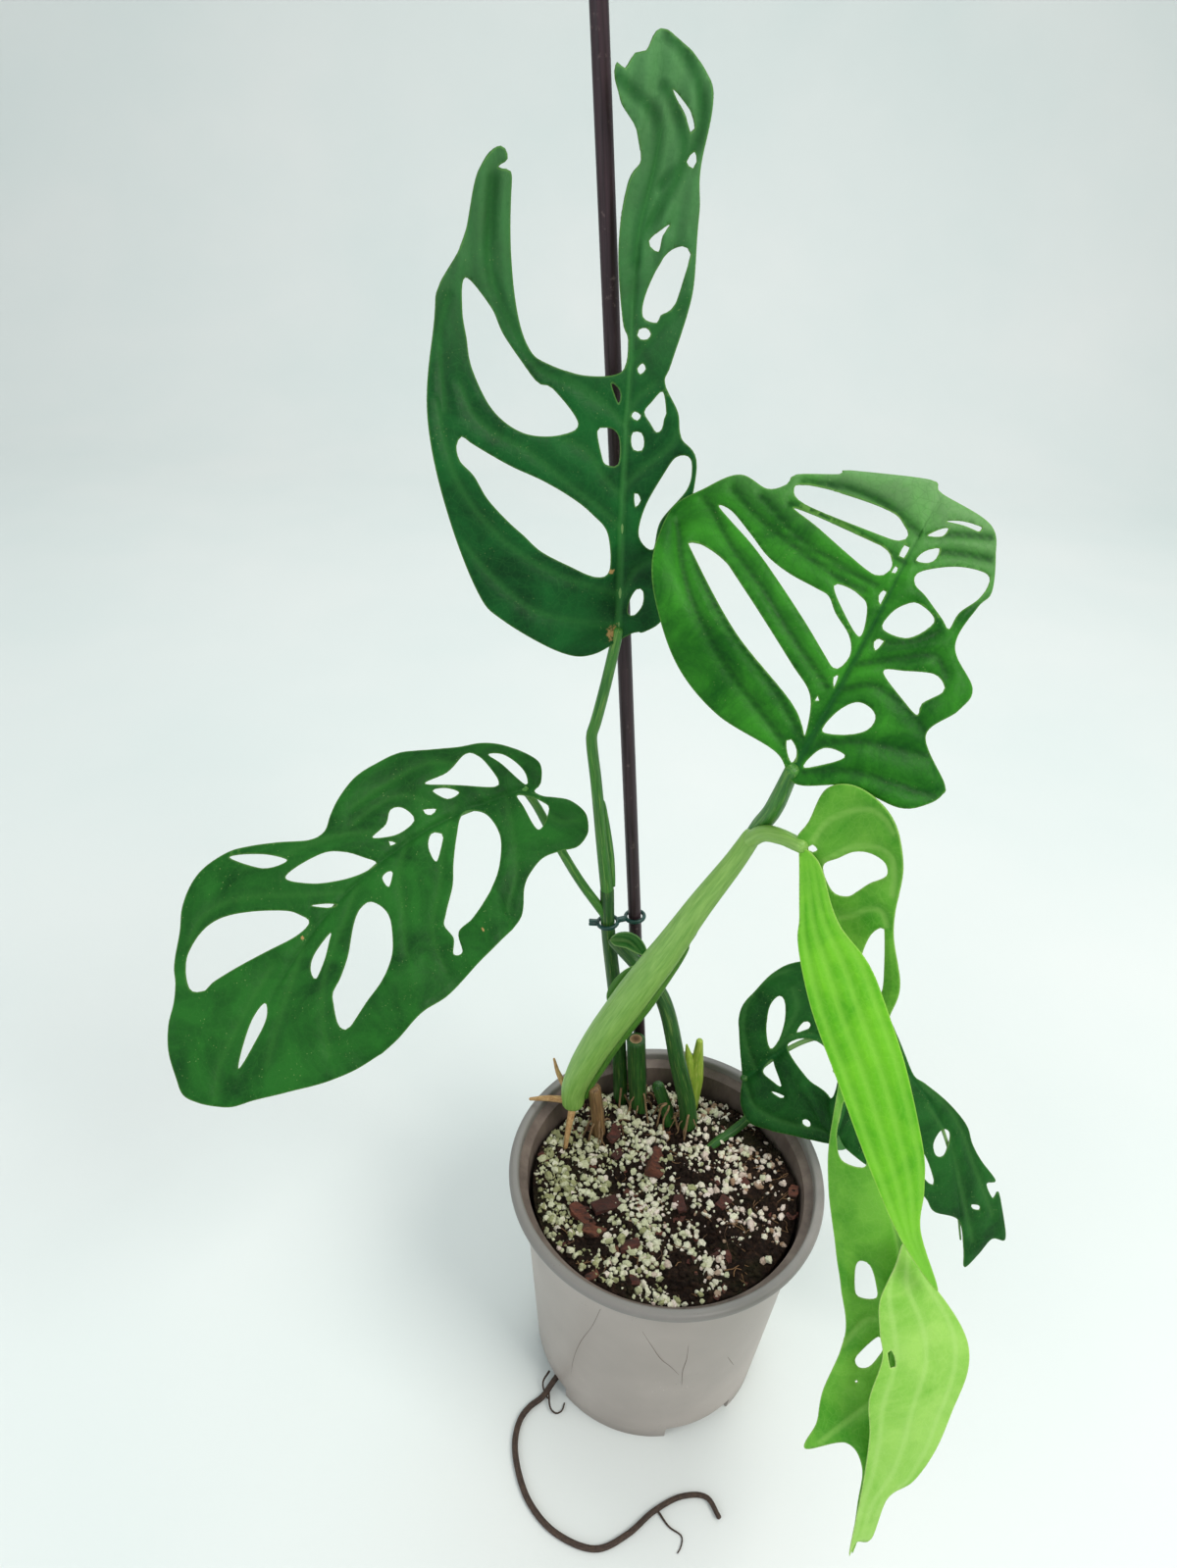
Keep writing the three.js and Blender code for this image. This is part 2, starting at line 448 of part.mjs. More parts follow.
// The surface of a blade. u runs along the rib and v across it, to the right, both in millimetres.
function bladeSurface({ stations, wave }) {
  const samplesPerSpan = 16;
  const keys = stations.map((s) => [...s.rib, ...s.faces, ...s.fold, ...s.curl]);
  const lengths = [0];
  const places = [0];
  let before = new THREE.Vector3(...stations[0].rib);
  for (let i = 1; i <= (keys.length - 1) * samplesPerSpan; i++) {
    const t = i / samplesPerSpan;
    const now = new THREE.Vector3(...through(keys, t).slice(0, 3));
    lengths.push(lengths[i - 1] + now.distanceTo(before));
    places.push(t);
    before = now;
  }
  const length = lengths[lengths.length - 1];
  const placeAt = (u) => {
    if (u <= 0) return 0;
    if (u >= length) return keys.length - 1;
    const i = lengths.findIndex((x) => x > u) - 1;
    const share = (u - lengths[i]) / (lengths[i + 1] - lengths[i]);
    return places[i] + share / samplesPerSpan;
  };
  const at = (u, v) => {
    const t = placeAt(u);
    const row = through(keys, t);
    const step = 1e-3;
    const ahead = new THREE.Vector3(...through(keys, t + step).slice(0, 3));
    const behind = new THREE.Vector3(...through(keys, t - step).slice(0, 3));
    const along = ahead.sub(behind).normalize();
    const faces = new THREE.Vector3(row[3], row[4], row[5]);
    faces.addScaledVector(along, -faces.dot(along)).normalize();
    const across = along.clone().cross(faces);
    const side = v >= 0 ? 1 : -1;
    const fold = radians(side > 0 ? row[7] : row[6]);
    let curl = radians(side > 0 ? row[9] : row[8]) / 10;
    if (Math.abs(curl) < 1e-6) curl = 1e-6;
    const w = Math.abs(v);
    const out = (Math.sin(fold + curl * w) - Math.sin(fold)) / curl;
    const phase = wave[2] + (side > 0 ? 0 : 2);
    const ripple = wave[0] * (v / 50) ** 2 * Math.sin((2 * Math.PI * u) / wave[1] + phase);
    const up = (Math.cos(fold) - Math.cos(fold + curl * w)) / curl + ripple;
    const past = Math.min(u, 0) + Math.max(u - length, 0);
    return new THREE.Vector3(row[0], row[1], row[2])
      .addScaledVector(along, past)
      .addScaledVector(across, side * out)
      .addScaledVector(faces, up);
  };
  const normal = (u, v) => {
    const d = 0.2;
    const side = v >= 0 ? 1 : -1;
    const alongU = at(u + d, v).sub(at(u - d, v));
    const alongV = at(u, v + side * d).sub(at(u, v)).multiplyScalar(side);
    return alongU.cross(alongV).normalize();
  };
  return { at, normal, length };
}

// A closed smooth outline through few points, as a list of [u, v] about one step apart.
function closedOutline(points, step) {
  const n = points.length;
  const sampled = [];
  for (let i = 0; i < n; i++) {
    const [a, b, c, d] = [points[(i + n - 1) % n], points[i], points[(i + 1) % n], points[(i + 2) % n]];
    const chord = Math.hypot(c[0] - b[0], c[1] - b[1]);
    const pieces = Math.max(1, Math.round(chord / step));
    for (let k = 0; k < pieces; k++) {
      const f = k / pieces;
      sampled.push([smoothStep(a[0], b[0], c[0], d[0], f), smoothStep(a[1], b[1], c[1], d[1], f)]);
    }
  }
  return sampled;
}

function isInside([u, v], loop) {
  let inside = false;
  for (let i = 0, j = loop.length - 1; i < loop.length; j = i++) {
    const [ui, vi] = loop[i];
    const [uj, vj] = loop[j];
    if ((vi > v) !== (vj > v) && u < ((uj - ui) * (v - vi)) / (vj - vi) + ui) inside = !inside;
  }
  return inside;
}

function distanceToLoop([u, v], loop) {
  let least = Infinity;
  for (let i = 0, j = loop.length - 1; i < loop.length; j = i++) {
    const [a, b] = loop[j];
    const [c, d] = loop[i];
    const length2 = (c - a) ** 2 + (d - b) ** 2;
    const share = length2 ? Math.min(1, Math.max(0, ((u - a) * (c - a) + (v - b) * (d - b)) / length2)) : 0;
    least = Math.min(least, Math.hypot(u - a - share * (c - a), v - b - share * (d - b)));
  }
  return least;
}

// Points inside the blade, on a triangular grid that keeps clear of every edge.
// The rib gets a row of its own.
function innerPoints(loops, step) {
  const [outline, ...windows] = loops;
  const us = outline.map((p) => p[0]);
  const vs = outline.map((p) => p[1]);
  const row = (step * Math.sqrt(3)) / 2;
  const found = [];
  const firstRow = Math.ceil(Math.min(...vs) / row);
  const lastRow = Math.floor(Math.max(...vs) / row);
  for (let j = firstRow; j <= lastRow; j++) {
    const shift = j % 2 ? step / 2 : 0;
    for (let u = Math.min(...us) + shift; u < Math.max(...us); u += step) {
      const p = [u, j * row + 0.6 * Math.sin(u + 2 * j)];
      const open = isInside(p, outline) && !windows.some((w) => isInside(p, w));
      if (open && loops.every((loop) => distanceToLoop(p, loop) > step * 0.4)) found.push(p);
    }
  }
  return found;
}

// Twice the area of a triangle of [u, v] points, positive where it turns left.
function turn([a, b], [c, d], [e, f]) {
  return (c - a) * (f - b) - (d - b) * (e - a);
}

function circleHolds([a, b, c], p) {
  const rows = [a, b, c].map(([u, v]) => [u - p[0], v - p[1], (u - p[0]) ** 2 + (v - p[1]) ** 2]);
  return new THREE.Matrix3().set(...rows.flat()).determinant() > 0;
}

// A Delaunay triangulation that takes in one point after another.
// Its first triangle is far larger than any blade.
function delaunay(points) {
  const first = [points.length - 3, points.length - 2, points.length - 1];
  let faces = [first];
  for (let i = 0; i < first[0]; i++) {
    const rim = new Map();
    const kept = [];
    for (const face of faces) {
      if (!circleHolds(face.map((k) => points[k]), points[i])) {
        kept.push(face);
        continue;
      }
      for (let k = 0; k < 3; k++) {
        const [a, b] = [face[k], face[(k + 1) % 3]];
        if (!rim.delete(b + ',' + a)) rim.set(a + ',' + b, [a, b]);
      }
    }
    faces = kept.concat([...rim.values()].map(([a, b]) => [a, b, i]));
  }
  return faces;
}

// The faces on both sides of each edge that crosses the line from a to b, where they form a convex quad.
function crossingPairs(points, faces, a, b) {
  const found = [];
  const owners = new Map();
  for (const face of faces) {
    for (let k = 0; k < 3; k++) owners.set(face[k] + ',' + face[(k + 1) % 3], face);
  }
  for (const [edge, face] of owners) {
    const [c, d] = edge.split(',').map(Number);
    const other = owners.get(d + ',' + c);
    if (!other || c > d || [a, b].includes(c) || [a, b].includes(d)) continue;
    const [pa, pb, pc, pd] = [a, b, c, d].map((k) => points[k]);
    if (turn(pa, pb, pc) * turn(pa, pb, pd) >= 0 || turn(pc, pd, pa) * turn(pc, pd, pb) >= 0) continue;
    const e = face.find((k) => k !== c && k !== d);
    const f = other.find((k) => k !== c && k !== d);
    const convex = turn(points[e], points[f], pd) > 0 && turn(points[f], points[e], pc) > 0;
    if (convex) found.push({ face, other, turned: [[e, f, d], [f, e, c]] });
  }
  return found;
}

// Triangles between the loops of a blade, with every edge of a loop kept.
function triangulate(loops, inner) {
  const far = 1e4;
  const points = [...loops.flat(), ...inner, [-far, -far], [far, -far], [0, far]];
  const rims = [];
  let offset = 0;
  for (const loop of loops) {
    for (let i = 0; i < loop.length; i++) rims.push([offset + i, offset + ((i + 1) % loop.length)]);
    offset += loop.length;
  }
  let faces = delaunay(points);
  for (const [a, b] of rims) {
    for (let tries = 0; tries < 99; tries++) {
      if (faces.some((face) => face.includes(a) && face.includes(b))) break;
      const pairs = crossingPairs(points, faces, a, b);
      const { face, other, turned } = pairs[tries % pairs.length];
      faces = faces.filter((x) => x !== face && x !== other).concat(turned);
    }
  }
  const kept = faces.filter((face) => {
    const middle = [0, 1].map((k) => face.reduce((sum, i) => sum + points[i][k] / 3, 0));
    return isInside(middle, loops[0]) && !loops.slice(1).some((loop) => isInside(middle, loop));
  });
  return { points: points.slice(0, -3), faces: kept };
}

// A blade, or one half of a folded one: the same triangles on both faces, joined along every edge.
function blade(leaf, thickness = BLADE) {
  const surface = bladeSurface(leaf);
  const loops = [leaf.outline, ...leaf.windows].map((loop) => closedOutline(loop, LEAF_EDGE_STEP));
  const { points, faces } = triangulate(loops, innerPoints(loops, LEAF_INNER_STEP));
  const positions = [];
  for (const side of [0.5, -0.5]) {
    for (const [u, v] of points) {
      const p = surface.at(u, v).addScaledVector(surface.normal(u, v), -side * thickness);
      positions.push(p.x, p.y, p.z);
    }
  }
  const under = points.length;
  const triangles = [];
  const edges = new Set();
  for (const face of faces) {
    const [a, b, c] = face;
    triangles.push(a, c, b, under + a, under + b, under + c);
    for (let k = 0; k < 3; k++) edges.add(face[k] + ',' + face[(k + 1) % 3]);
  }
  for (const edge of edges) {
    const [a, b] = edge.split(',').map(Number);
    if (!edges.has(b + ',' + a)) triangles.push(a, b, under + a, b, under + b, under + a);
  }
  return indexed(positions, triangles);
}

// The raised rib on the underside, from the petiole almost to the tip.
function ribOf(leaf, thick, share = 0.93) {
  const surface = bladeSurface(leaf);
  const points = [];
  for (let i = 0; i <= 6; i++) {
    const u = 1 + (surface.length * share * i) / 6;
    const p = surface.at(u, 0).addScaledVector(surface.normal(u, 0.01), 0.4 * thick);
    points.push(p.toArray());
  }
  return stem({ points, radii: [thick, 0.45], sides: 6, steps: 8 });
}

function leaf(name, halves, ribThick, ribShare, petiole, material) {
  let body = solidOf(ribOf(halves[0], ribThick, ribShare));
  for (const half of halves) body = body.add(solidOf(blade(half)));
  body = body.subtract(solidOf(stem(petiole, GAP)));
  return add(name, geometryOf(mainBody(body)), material);
}

// Stems and petioles: hand-placed points from the soil upwards, and the radii along them.
const STEM_MAIN = {
  points: [
    [-17, 43, 62], [-18.5, 45.5, 105], [-22.7, 46.9, 155], [-29.3, 47.7, 204.5], [-30.7, 47.7, 224.1],
  ],
  radii: [3, 3.2, 3, 2.8],
};
const STEM_SECOND = {
  points: [
    [9, 33, 66], [12, 34.5, 104], [3.9, 33.5, 143], [-5.8, 35.8, 179.2], [-16, 37.7, 193.5],
    [-26.1, 44.1, 200.9],
  ],
  radii: [4, 4, 3.6, 3.2, 2.9],
};
const STEM_STUB = {
  points: [[-9, 40, 76], [-10.5, 42, 105], [-12.4, 42, 126], [-14.2, 42, 147]],
  radii: [3.9, 4, 4.1],
  steps: 4,
};
const STEM_LOW = {
  points: [[2.5, 29, 74], [3.6, 36.5, 102], [0.6, 39.5, 111], [-2.3, 41.5, 118]],
  radii: [3.1, 3, 2.8],
  steps: 6,
};
const SHEATH_FOOT = {
  points: [[-27, 24, 74], [-28, 26, 106], [-31, 26.5, 132]],
  radii: [3, 3, 2.8],
  steps: 6,
};
const SHEATH = {
  points: [
    [-40, 27, 124], [-39.6, 26.8, 133], [-33, 25.5, 156.4], [-19.6, 21, 192.6], [-7.9, 15, 224.1],
    [0.8, 9.5, 250.1], [10.4, 5, 274.9], [14.2, 3.2, 286],
  ],
  radii: [5, 6.2, 6.7, 6.8, 6.2, 5, 4.1, 3.2],
  steps: 12,
  sides: 10,
};
const PETIOLE_UPPER = {
  points: [
    [-30.76, 47.64, 224.7], [-34, 45.4, 250], [-37.6, 42.4, 280], [-39.7, 40.4, 296], [-39.9, 39.9, 300.5],
    [-38.9, 39.4, 305], [-36, 37.5, 322], [-33, 36.8, 342],
  ],
  radii: [2.6, 2.2, 2, 1.8],
  steps: 24,
};
const PETIOLE_LEFT = {
  points: [
    [-30.7, 47.7, 211.2], [-42, 44.8, 231.3], [-52.1, 45, 250.5], [-59, 45, 265], [-63.4, 42.4, 274],
  ],
  radii: [2, 1.8, 1.7, 1.5],
};
const PETIOLE_YOUNG = {
  points: [[13.8, 3.4, 285], [17, -3, 292.6], [21.2, -10, 296.6], [26, -17, 298.7]],
  radii: [2.9, 2.7, 2.3],
};
const PETIOLE_RIGHT = {
  points: [[13.6, 9, 277.5], [16.2, 5, 288.5], [18.6, -2, 301], [20.5, -11, 322]],
  radii: [2.6, 3, 2.9, 2.3],
  steps: 8,
};
const PETIOLE_LOW = {
  points: [
    [13, 17, 96], [24.1, 23.8, 105], [31.9, 28.2, 108.5], [38.5, 32.8, 113], [40.6, 37, 120.5],
    [37.8, 37.5, 129], [33.4, 34.8, 134.4],
  ],
  radii: [2, 2.1, 2, 1.7],
};
const SHOOT = {
  points: [[12, 42, 78], [13.5, 44, 105], [14.5, 48, 124], [14.5, 50, 139]],
  radii: [2.4, 3.2, 3.7, 1.6],
  steps: 7,
};
const THIN = { sides: 6, steps: 5 };
const AIR_ROOTS = [
  { points: [[-39.5, 26.2, 125], [-41.5, 19, 113], [-42.5, 15.5, 102]], radii: [1.9, 1.3, 0.8], ...THIN },
  { points: [[-43, 26, 125], [-51, 28, 123], [-58.5, 30, 119.6]], radii: [1.6, 1.3, 0.7], ...THIN },
  { points: [[-42, 28, 127], [-47, 33, 134], [-49, 36, 139]], radii: [1.5, 1.2, 0.5], ...THIN },
];
// The long root comes out of a drain hole and a notch, and lies on what the pot stands on.
const FLOOR_ROOT = {
  points: [
    [-31.4, -13, 8.7], [-32, -15, 6.2], [-36, -23, 5.4], [-41.5, -30, 4.6], [-47, -37, 1.9],
    [-52, -41, 1.5], [-55.8, -46.4, 1.5], [-57.5, -56, 1.5], [-55, -68, 1.5], [-49, -80, 1.5],
    [-38, -90, 1.5], [-21.6, -94.8, 1.5], [-9, -89, 1.5], [2, -80, 1.5], [14, -74, 1.5],
    [24, -74, 1.5], [28.5, -81, 1.5],
  ],
  radii: [1.3, 1.3, 1.3, 1.2, 1],
  sides: 6,
  steps: 44,
};
const CANE = { points: [CANE_FOOT, CANE_TOP], radii: [CANE_RADIUS, CANE_RADIUS], sides: 12, steps: 2 };
const CLIP_STEM = { at: [-29.6, 47.7, 207.6], axis: [-6.6, 0.8, 50], inner: 3.2 };
const CLIP_CANE = { at: [-18.6, 52.2, 207.6], axis: [-0.0966, 0.031, 1], inner: 3 };
const CLIP_THICK = 0.8;

function potSection() {
  const wallInner = WALL_TOP_RADIUS - WALL;
  const points = [
    [0, 0], [PAD_RADIUS, 0], [PAD_RADIUS + 2, BASE_LIFT],
    [FOOT_RADIUS - FOOT_RING_WIDTH - 1, BASE_LIFT], [FOOT_RADIUS - FOOT_RING_WIDTH, 0], [FOOT_RADIUS, 0],
    [WALL_TOP_RADIUS, POT_HEIGHT - LIP_HEIGHT - 1], [RIM_RADIUS - 1.2, POT_HEIGHT - LIP_HEIGHT],
    [RIM_RADIUS, POT_HEIGHT - LIP_HEIGHT + 1.2], [RIM_RADIUS, POT_HEIGHT - 1.2],
    [RIM_RADIUS - 1.2, POT_HEIGHT], [RIM_INNER_RADIUS + 0.6, POT_HEIGHT],
    [RIM_INNER_RADIUS, POT_HEIGHT - 0.8],
    [wallInner, POT_HEIGHT - LIP_HEIGHT - 1.5], [FOOT_RADIUS - WALL, BASE_LIFT + WALL],
    [PAD_RADIUS + 1, BASE_LIFT + WALL], [PAD_RADIUS - 1, WALL], [0, WALL],
  ];
  return points.map(([r, z]) => new THREE.Vector2(r, z));
}

function pot() {
  const turned = new THREE.LatheGeometry(potSection(), POT_SIDES).rotateX(Math.PI / 2);
  let body = solidOf(turned);
  for (let i = 0; i < NOTCHES; i++) {
    const turn = radians(FIRST_NOTCH_DEG - 90 + (360 / NOTCHES) * i);
    const width = 2 * FOOT_RADIUS * Math.sin(radians(NOTCH_WIDTH_DEG / 2));
    const notch = new THREE.BoxGeometry(14, width, 2 * NOTCH_HEIGHT)
      .translate(FOOT_RADIUS, 0, 0)
      .rotateZ(turn);
    body = body.subtract(solidOf(notch));
  }
  for (let i = 0; i < DRAIN_HOLES; i++) {
    const turn = (2 * Math.PI * (i + 0.5)) / DRAIN_HOLES;
    const hole = new THREE.CylinderGeometry(DRAIN_RADIUS, DRAIN_RADIUS, 6, 8)
      .rotateX(Math.PI / 2)
      .translate(DRAIN_CIRCLE * Math.cos(turn), DRAIN_CIRCLE * Math.sin(turn), BASE_LIFT + WALL / 2);
    body = body.subtract(solidOf(hole));
  }
  return geometryOf(body);
}

function soilHeight(x, y) {
  const mound = 1.6 * Math.sin(x / 9 + 1) * Math.cos(y / 11) + 1.2 * Math.sin((x + y) / 7);
  return SOIL_LEVEL + SOIL_SLOPE * y + mound;
}

// The soil keeps a small gap to the wall. Its stems stand in plain holes.
function soil(standing) {
  const bottom = BASE_LIFT + WALL + GAP;
  const lean = (WALL_TOP_RADIUS - FOOT_RADIUS) / (POT_HEIGHT - LIP_HEIGHT - 1);
  const radiusAt = (z) => FOOT_RADIUS - WALL + lean * (z - BASE_LIFT - WALL) - GAP - 0.3;
  const positions = [0, 0, soilHeight(0, 0)];
  const faces = [];
  for (let i = 1; i <= SOIL_RINGS; i++) {
    for (let j = 0; j < SOIL_SIDES; j++) {
      const angle = (2 * Math.PI * j) / SOIL_SIDES;
      const r = (radiusAt(SOIL_LEVEL - 5) * i) / SOIL_RINGS;
      const [x, y] = [r * Math.cos(angle), r * Math.sin(angle)];
      positions.push(x, y, soilHeight(x, y));
    }
  }
  for (let j = 0; j < SOIL_SIDES; j++) {
    const angle = (2 * Math.PI * j) / SOIL_SIDES;
    const r = radiusAt(bottom);
    positions.push(r * Math.cos(angle), r * Math.sin(angle), bottom);
  }
  const ring = (i, j) => 1 + (i - 1) * SOIL_SIDES + (j % SOIL_SIDES);
  const under = positions.length / 3;
  positions.push(0, 0, bottom);
  for (let j = 0; j < SOIL_SIDES; j++) {
    faces.push(0, ring(1, j), ring(1, j + 1));
    for (let i = 1; i <= SOIL_RINGS; i++) {
      faces.push(ring(i, j), ring(i + 1, j), ring(i + 1, j + 1));
      faces.push(ring(i, j), ring(i + 1, j + 1), ring(i, j + 1));
    }
    faces.push(under, ring(SOIL_RINGS + 1, j + 1), ring(SOIL_RINGS + 1, j));
  }
  let body = solidOf(indexed(positions, faces));
  for (const line of standing) body = body.subtract(solidOf(stem(line, GAP)));
  return geometryOf(mainBody(body));
}

function clipRing({ at, axis, inner }) {
  const ring = new THREE.TorusGeometry(inner + CLIP_THICK, CLIP_THICK, 6, 16);
  const turn = new THREE.Quaternion().setFromUnitVectors(
    new THREE.Vector3(0, 0, 1), new THREE.Vector3(...axis).normalize());
  return ring.applyQuaternion(turn).translate(...at);
}

// Two rings joined by a bridge, with two ears on the ring round the stem.
function clip() {
  const middle = [0, 1, 2].map((k) => (CLIP_STEM.at[k] + CLIP_CANE.at[k]) / 2);
  const heading = Math.atan2(CLIP_CANE.at[1] - CLIP_STEM.at[1], CLIP_CANE.at[0] - CLIP_STEM.at[0]);
  const bridge = new THREE.BoxGeometry(4.4, 2.2, 2).rotateZ(heading).translate(...middle);
  let body = solidOf(clipRing(CLIP_STEM)).add(solidOf(clipRing(CLIP_CANE))).add(solidOf(bridge));
  for (const z of [-0.9, 0.9]) {
    const ear = new THREE.BoxGeometry(3.4, 1.6, 0.9)
      .translate(CLIP_STEM.at[0] - CLIP_STEM.inner - 2.6, CLIP_STEM.at[1] - 0.5, CLIP_STEM.at[2] + z);
    body = body.add(solidOf(ear));
  }
  for (const held of [STEM_MAIN, CANE]) body = body.subtract(solidOf(stem(held, GAP)));
  return geometryOf(mainBody(body));
}

add('pot', pot(), PLASTIC);
const standing = [
  CANE, STEM_MAIN, STEM_SECOND, STEM_STUB, STEM_LOW, SHEATH_FOOT, PETIOLE_LOW, SHOOT, AIR_ROOTS[0],
];
add('soil', soil(standing), SOIL);
add('stake', stem(CANE), CANE_PLASTIC);
add('plant_clip', clip(), CLIP);
add('stem_main', stem(STEM_MAIN), STEM);
add('stem_second', seated(STEM_SECOND, STEM_MAIN), STEM);
add('stem_stub', stem(STEM_STUB), STEM);
add('stem_low', stem(STEM_LOW), STEM);
add('sheath', stem(SHEATH), PALE_STEM);
add('sheath_foot', seated(SHEATH_FOOT, SHEATH), STEM);
add('petiole_upper', stem(PETIOLE_UPPER), STEM);
add('petiole_left', seated(PETIOLE_LEFT, STEM_MAIN), STEM);
add('petiole_young', seated(PETIOLE_YOUNG, SHEATH), PALE_STEM);
add('petiole_right', seated(PETIOLE_RIGHT, SHEATH, PETIOLE_YOUNG), STEM);
add('petiole_low', stem(PETIOLE_LOW), STEM);
add('shoot', stem(SHOOT), YOUNG_LEAF);
AIR_ROOTS.forEach((root, i) => add('root_air_' + (i + 1), seated(root, SHEATH, SHEATH_FOOT), ROOT));
add('root_floor', stem(FLOOR_ROOT), DARK_ROOT);
leaf('leaf_upper', [UPPER], 1.3, 0.95, PETIOLE_UPPER, DARK_LEAF);
leaf('leaf_left', [LEFT], 1.2, 0.74, PETIOLE_LEFT, DARK_LEAF);
leaf('leaf_right', [RIGHT], 1.3, 0.93, PETIOLE_RIGHT, MID_LEAF);
leaf('leaf_low', [LOW], 1.2, 0.93, PETIOLE_LOW, DARK_LEAF);
leaf('leaf_young', [YOUNG_BACK, YOUNG_STRAP, YOUNG_LOBE], 1.3, 0.95, PETIOLE_YOUNG, YOUNG_LEAF);

export default plant;
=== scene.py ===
"""A potted climbing aroid with five perforated leaves, tied to a thin dark cane."""

import math
import random

import bmesh
import bpy
import numpy as np
from mathutils import Matrix, Vector, noise


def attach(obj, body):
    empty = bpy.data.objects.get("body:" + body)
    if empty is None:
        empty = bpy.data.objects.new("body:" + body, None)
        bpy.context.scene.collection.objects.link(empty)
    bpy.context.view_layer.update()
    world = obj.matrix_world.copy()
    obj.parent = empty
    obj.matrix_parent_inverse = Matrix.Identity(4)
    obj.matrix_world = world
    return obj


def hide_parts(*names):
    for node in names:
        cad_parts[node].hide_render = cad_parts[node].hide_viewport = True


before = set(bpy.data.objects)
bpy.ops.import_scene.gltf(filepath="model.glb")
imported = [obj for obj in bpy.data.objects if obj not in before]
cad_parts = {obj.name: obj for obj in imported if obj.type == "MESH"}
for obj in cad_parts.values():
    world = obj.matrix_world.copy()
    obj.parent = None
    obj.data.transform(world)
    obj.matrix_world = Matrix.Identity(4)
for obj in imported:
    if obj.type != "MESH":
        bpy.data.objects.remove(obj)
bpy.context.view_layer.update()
MM = 0.001

# The pot, in millimetres: a turned wall with a rolled lip and four notches in its foot ring.
POT_HEIGHT = 118
RIM_RADIUS = 65
RIM_INNER_RADIUS = 60.9
LIP_HEIGHT = 4
WALL = 1.5
WALL_TOP_RADIUS = 58.9
FOOT_RADIUS = 50.6
FOOT_RING_WIDTH = 3.2
BASE_LIFT = 8
PAD_RADIUS = 14
NOTCH_HEIGHT = 7.9
NOTCH_WIDTH_DEG = 36
FIRST_NOTCH_DEG = 26
NOTCHES = 4
DRAIN_HOLES = 8
DRAIN_RADIUS = 3.5
DRAIN_CIRCLE = 34
POT_STEPS = 180
BASE_ZONE_TOP = 12
SHARP_EDGE_DEG = 48

# The soil and what lies in it.
SOIL_LEVEL = 106
SOIL_SLOPE = -0.05
SOIL_RADIUS = 55
SOIL_RINGS = 66
SOIL_STEPS = 220
PERLITE_GRAINS = 2500
SOIL_CRUMBS = 1500
FIBRES = 90

# The blades: the size of their mesh, their thickness, their relief, and the finish of their skin.
BLADE_STEP = 1.5
BLADE_THICK = 0.5
VEIN_WIDTH = 1.5
RIB_WIDTH = 1.3
BULGE_REACH = 2.6
EDGE_FADE = 2.5
UNEVENNESS = 0.2
LEAF_SHINE = 0.14
DULL_EDGE = (96, 140, 66)
SCAR = (176, 138, 88)

# Stems: the side that faces the front, and how their ends are rounded, as depth and width in radii.
STEM_FRONT = (0.2, -1, 0.1)
ROUNDED_END = [(0.35, 0.94), (0.75, 0.66)]
WING_THICK = 0.7
CLIP_STEPS = 48

# Vertices that are nearer than this, in metres, are one.
SEAM = 1e-6

# The camera stands in front, above the leaves, and is rolled a little.
CAMERA_PLACE = (-40.17, -283.7, 496.1)
CAMERA_PITCH_DEG = 33.8
CAMERA_ROLL_DEG = 2.89
CAMERA_FOCAL_PX = 1100
PHOTO_HEIGHT_PX = 1599
SENSOR_WIDTH = 36

# The room, in metres: a floor that sweeps up into a backdrop, its pale light, and the lamps with their
# place, size, power and colour.
FLOOR_WIDTH = 7
FLOOR_FRONT = -2.2
SWEEP_START = 1.2
SWEEP_RADIUS = 0.6
BACKDROP_HEIGHT = 2.4
ROOM_COLOUR = (0.95, 0.98, 0.99)
ROOM_LIGHT = 0.66
LAMP_AIM = 0.25
LAMPS = [
    ("Window", (0.75, -0.55, 1.35), 0.7, 14, (1.0, 0.97, 0.92)),
    ("Fill", (-1.1, -0.9, 0.9), 1.2, 5, (0.88, 0.96, 1.0)),
    ("Back", (0.2, 1.0, 1.5), 1.2, 8, (0.95, 1.0, 1.0)),
]


def read_points(text):
    """A row of points that is written as text, with commas between the points."""
    return [tuple(float(number) for number in point.split()) for point in text.split(",")]


def read_rows(text):
    """Rows of points, with semicolons between the rows."""
    return [read_points(row) for row in text.split(";") if row.strip()]


def stalk(text, *radii):
    """A stem or root: points along it, and the radii that it passes through."""
    return {"points": read_points(text), "radii": radii}


def leaf_shape(stations, wave, outline, veins, windows=""):
    """A blade. Its flat shapes are measured along the rib and out to the right of it.

    Each station along the rib holds a place, the way the upper side faces, how far the left and the right
    half are folded up, and how much each half curls on over 10 mm, in degrees. The wave holds the height,
    the length and the start of the waves in its margins.
    """
    return {
        "stations": read_rows(stations),
        "wave": wave,
        "outline": read_points(outline),
        "windows": read_rows(windows),
        "veins": read_rows(veins),
    }


# Stems and petioles: points from the soil upwards, and the radii along them.
CANE = stalk("-4.4 47.6 60, -56.5 64.4 600", 2.6, 2.6)
STEM_MAIN = stalk(
    "-17 43 62, -18.5 45.5 105, -22.7 46.9 155, -29.3 47.7 204.5, -30.7 47.7 224.1",
    3, 3.2, 3, 2.8,
)
STEM_SECOND = stalk(
    "9 33 66, 12 34.5 104, 3.9 33.5 143, -5.8 35.8 179.2, -16 37.7 193.5, -26.1 44.1 200.9",
    4, 4, 3.6, 3.2, 2.9,
)
STEM_STUB = stalk("-9 40 76, -10.5 42 105, -12.4 42 126, -14.2 42 147", 3.9, 4, 4.1)
STEM_LOW = stalk("2.5 29 74, 3.6 36.5 102, 0.6 39.5 111, -2.3 41.5 118", 3.1, 3, 2.8)
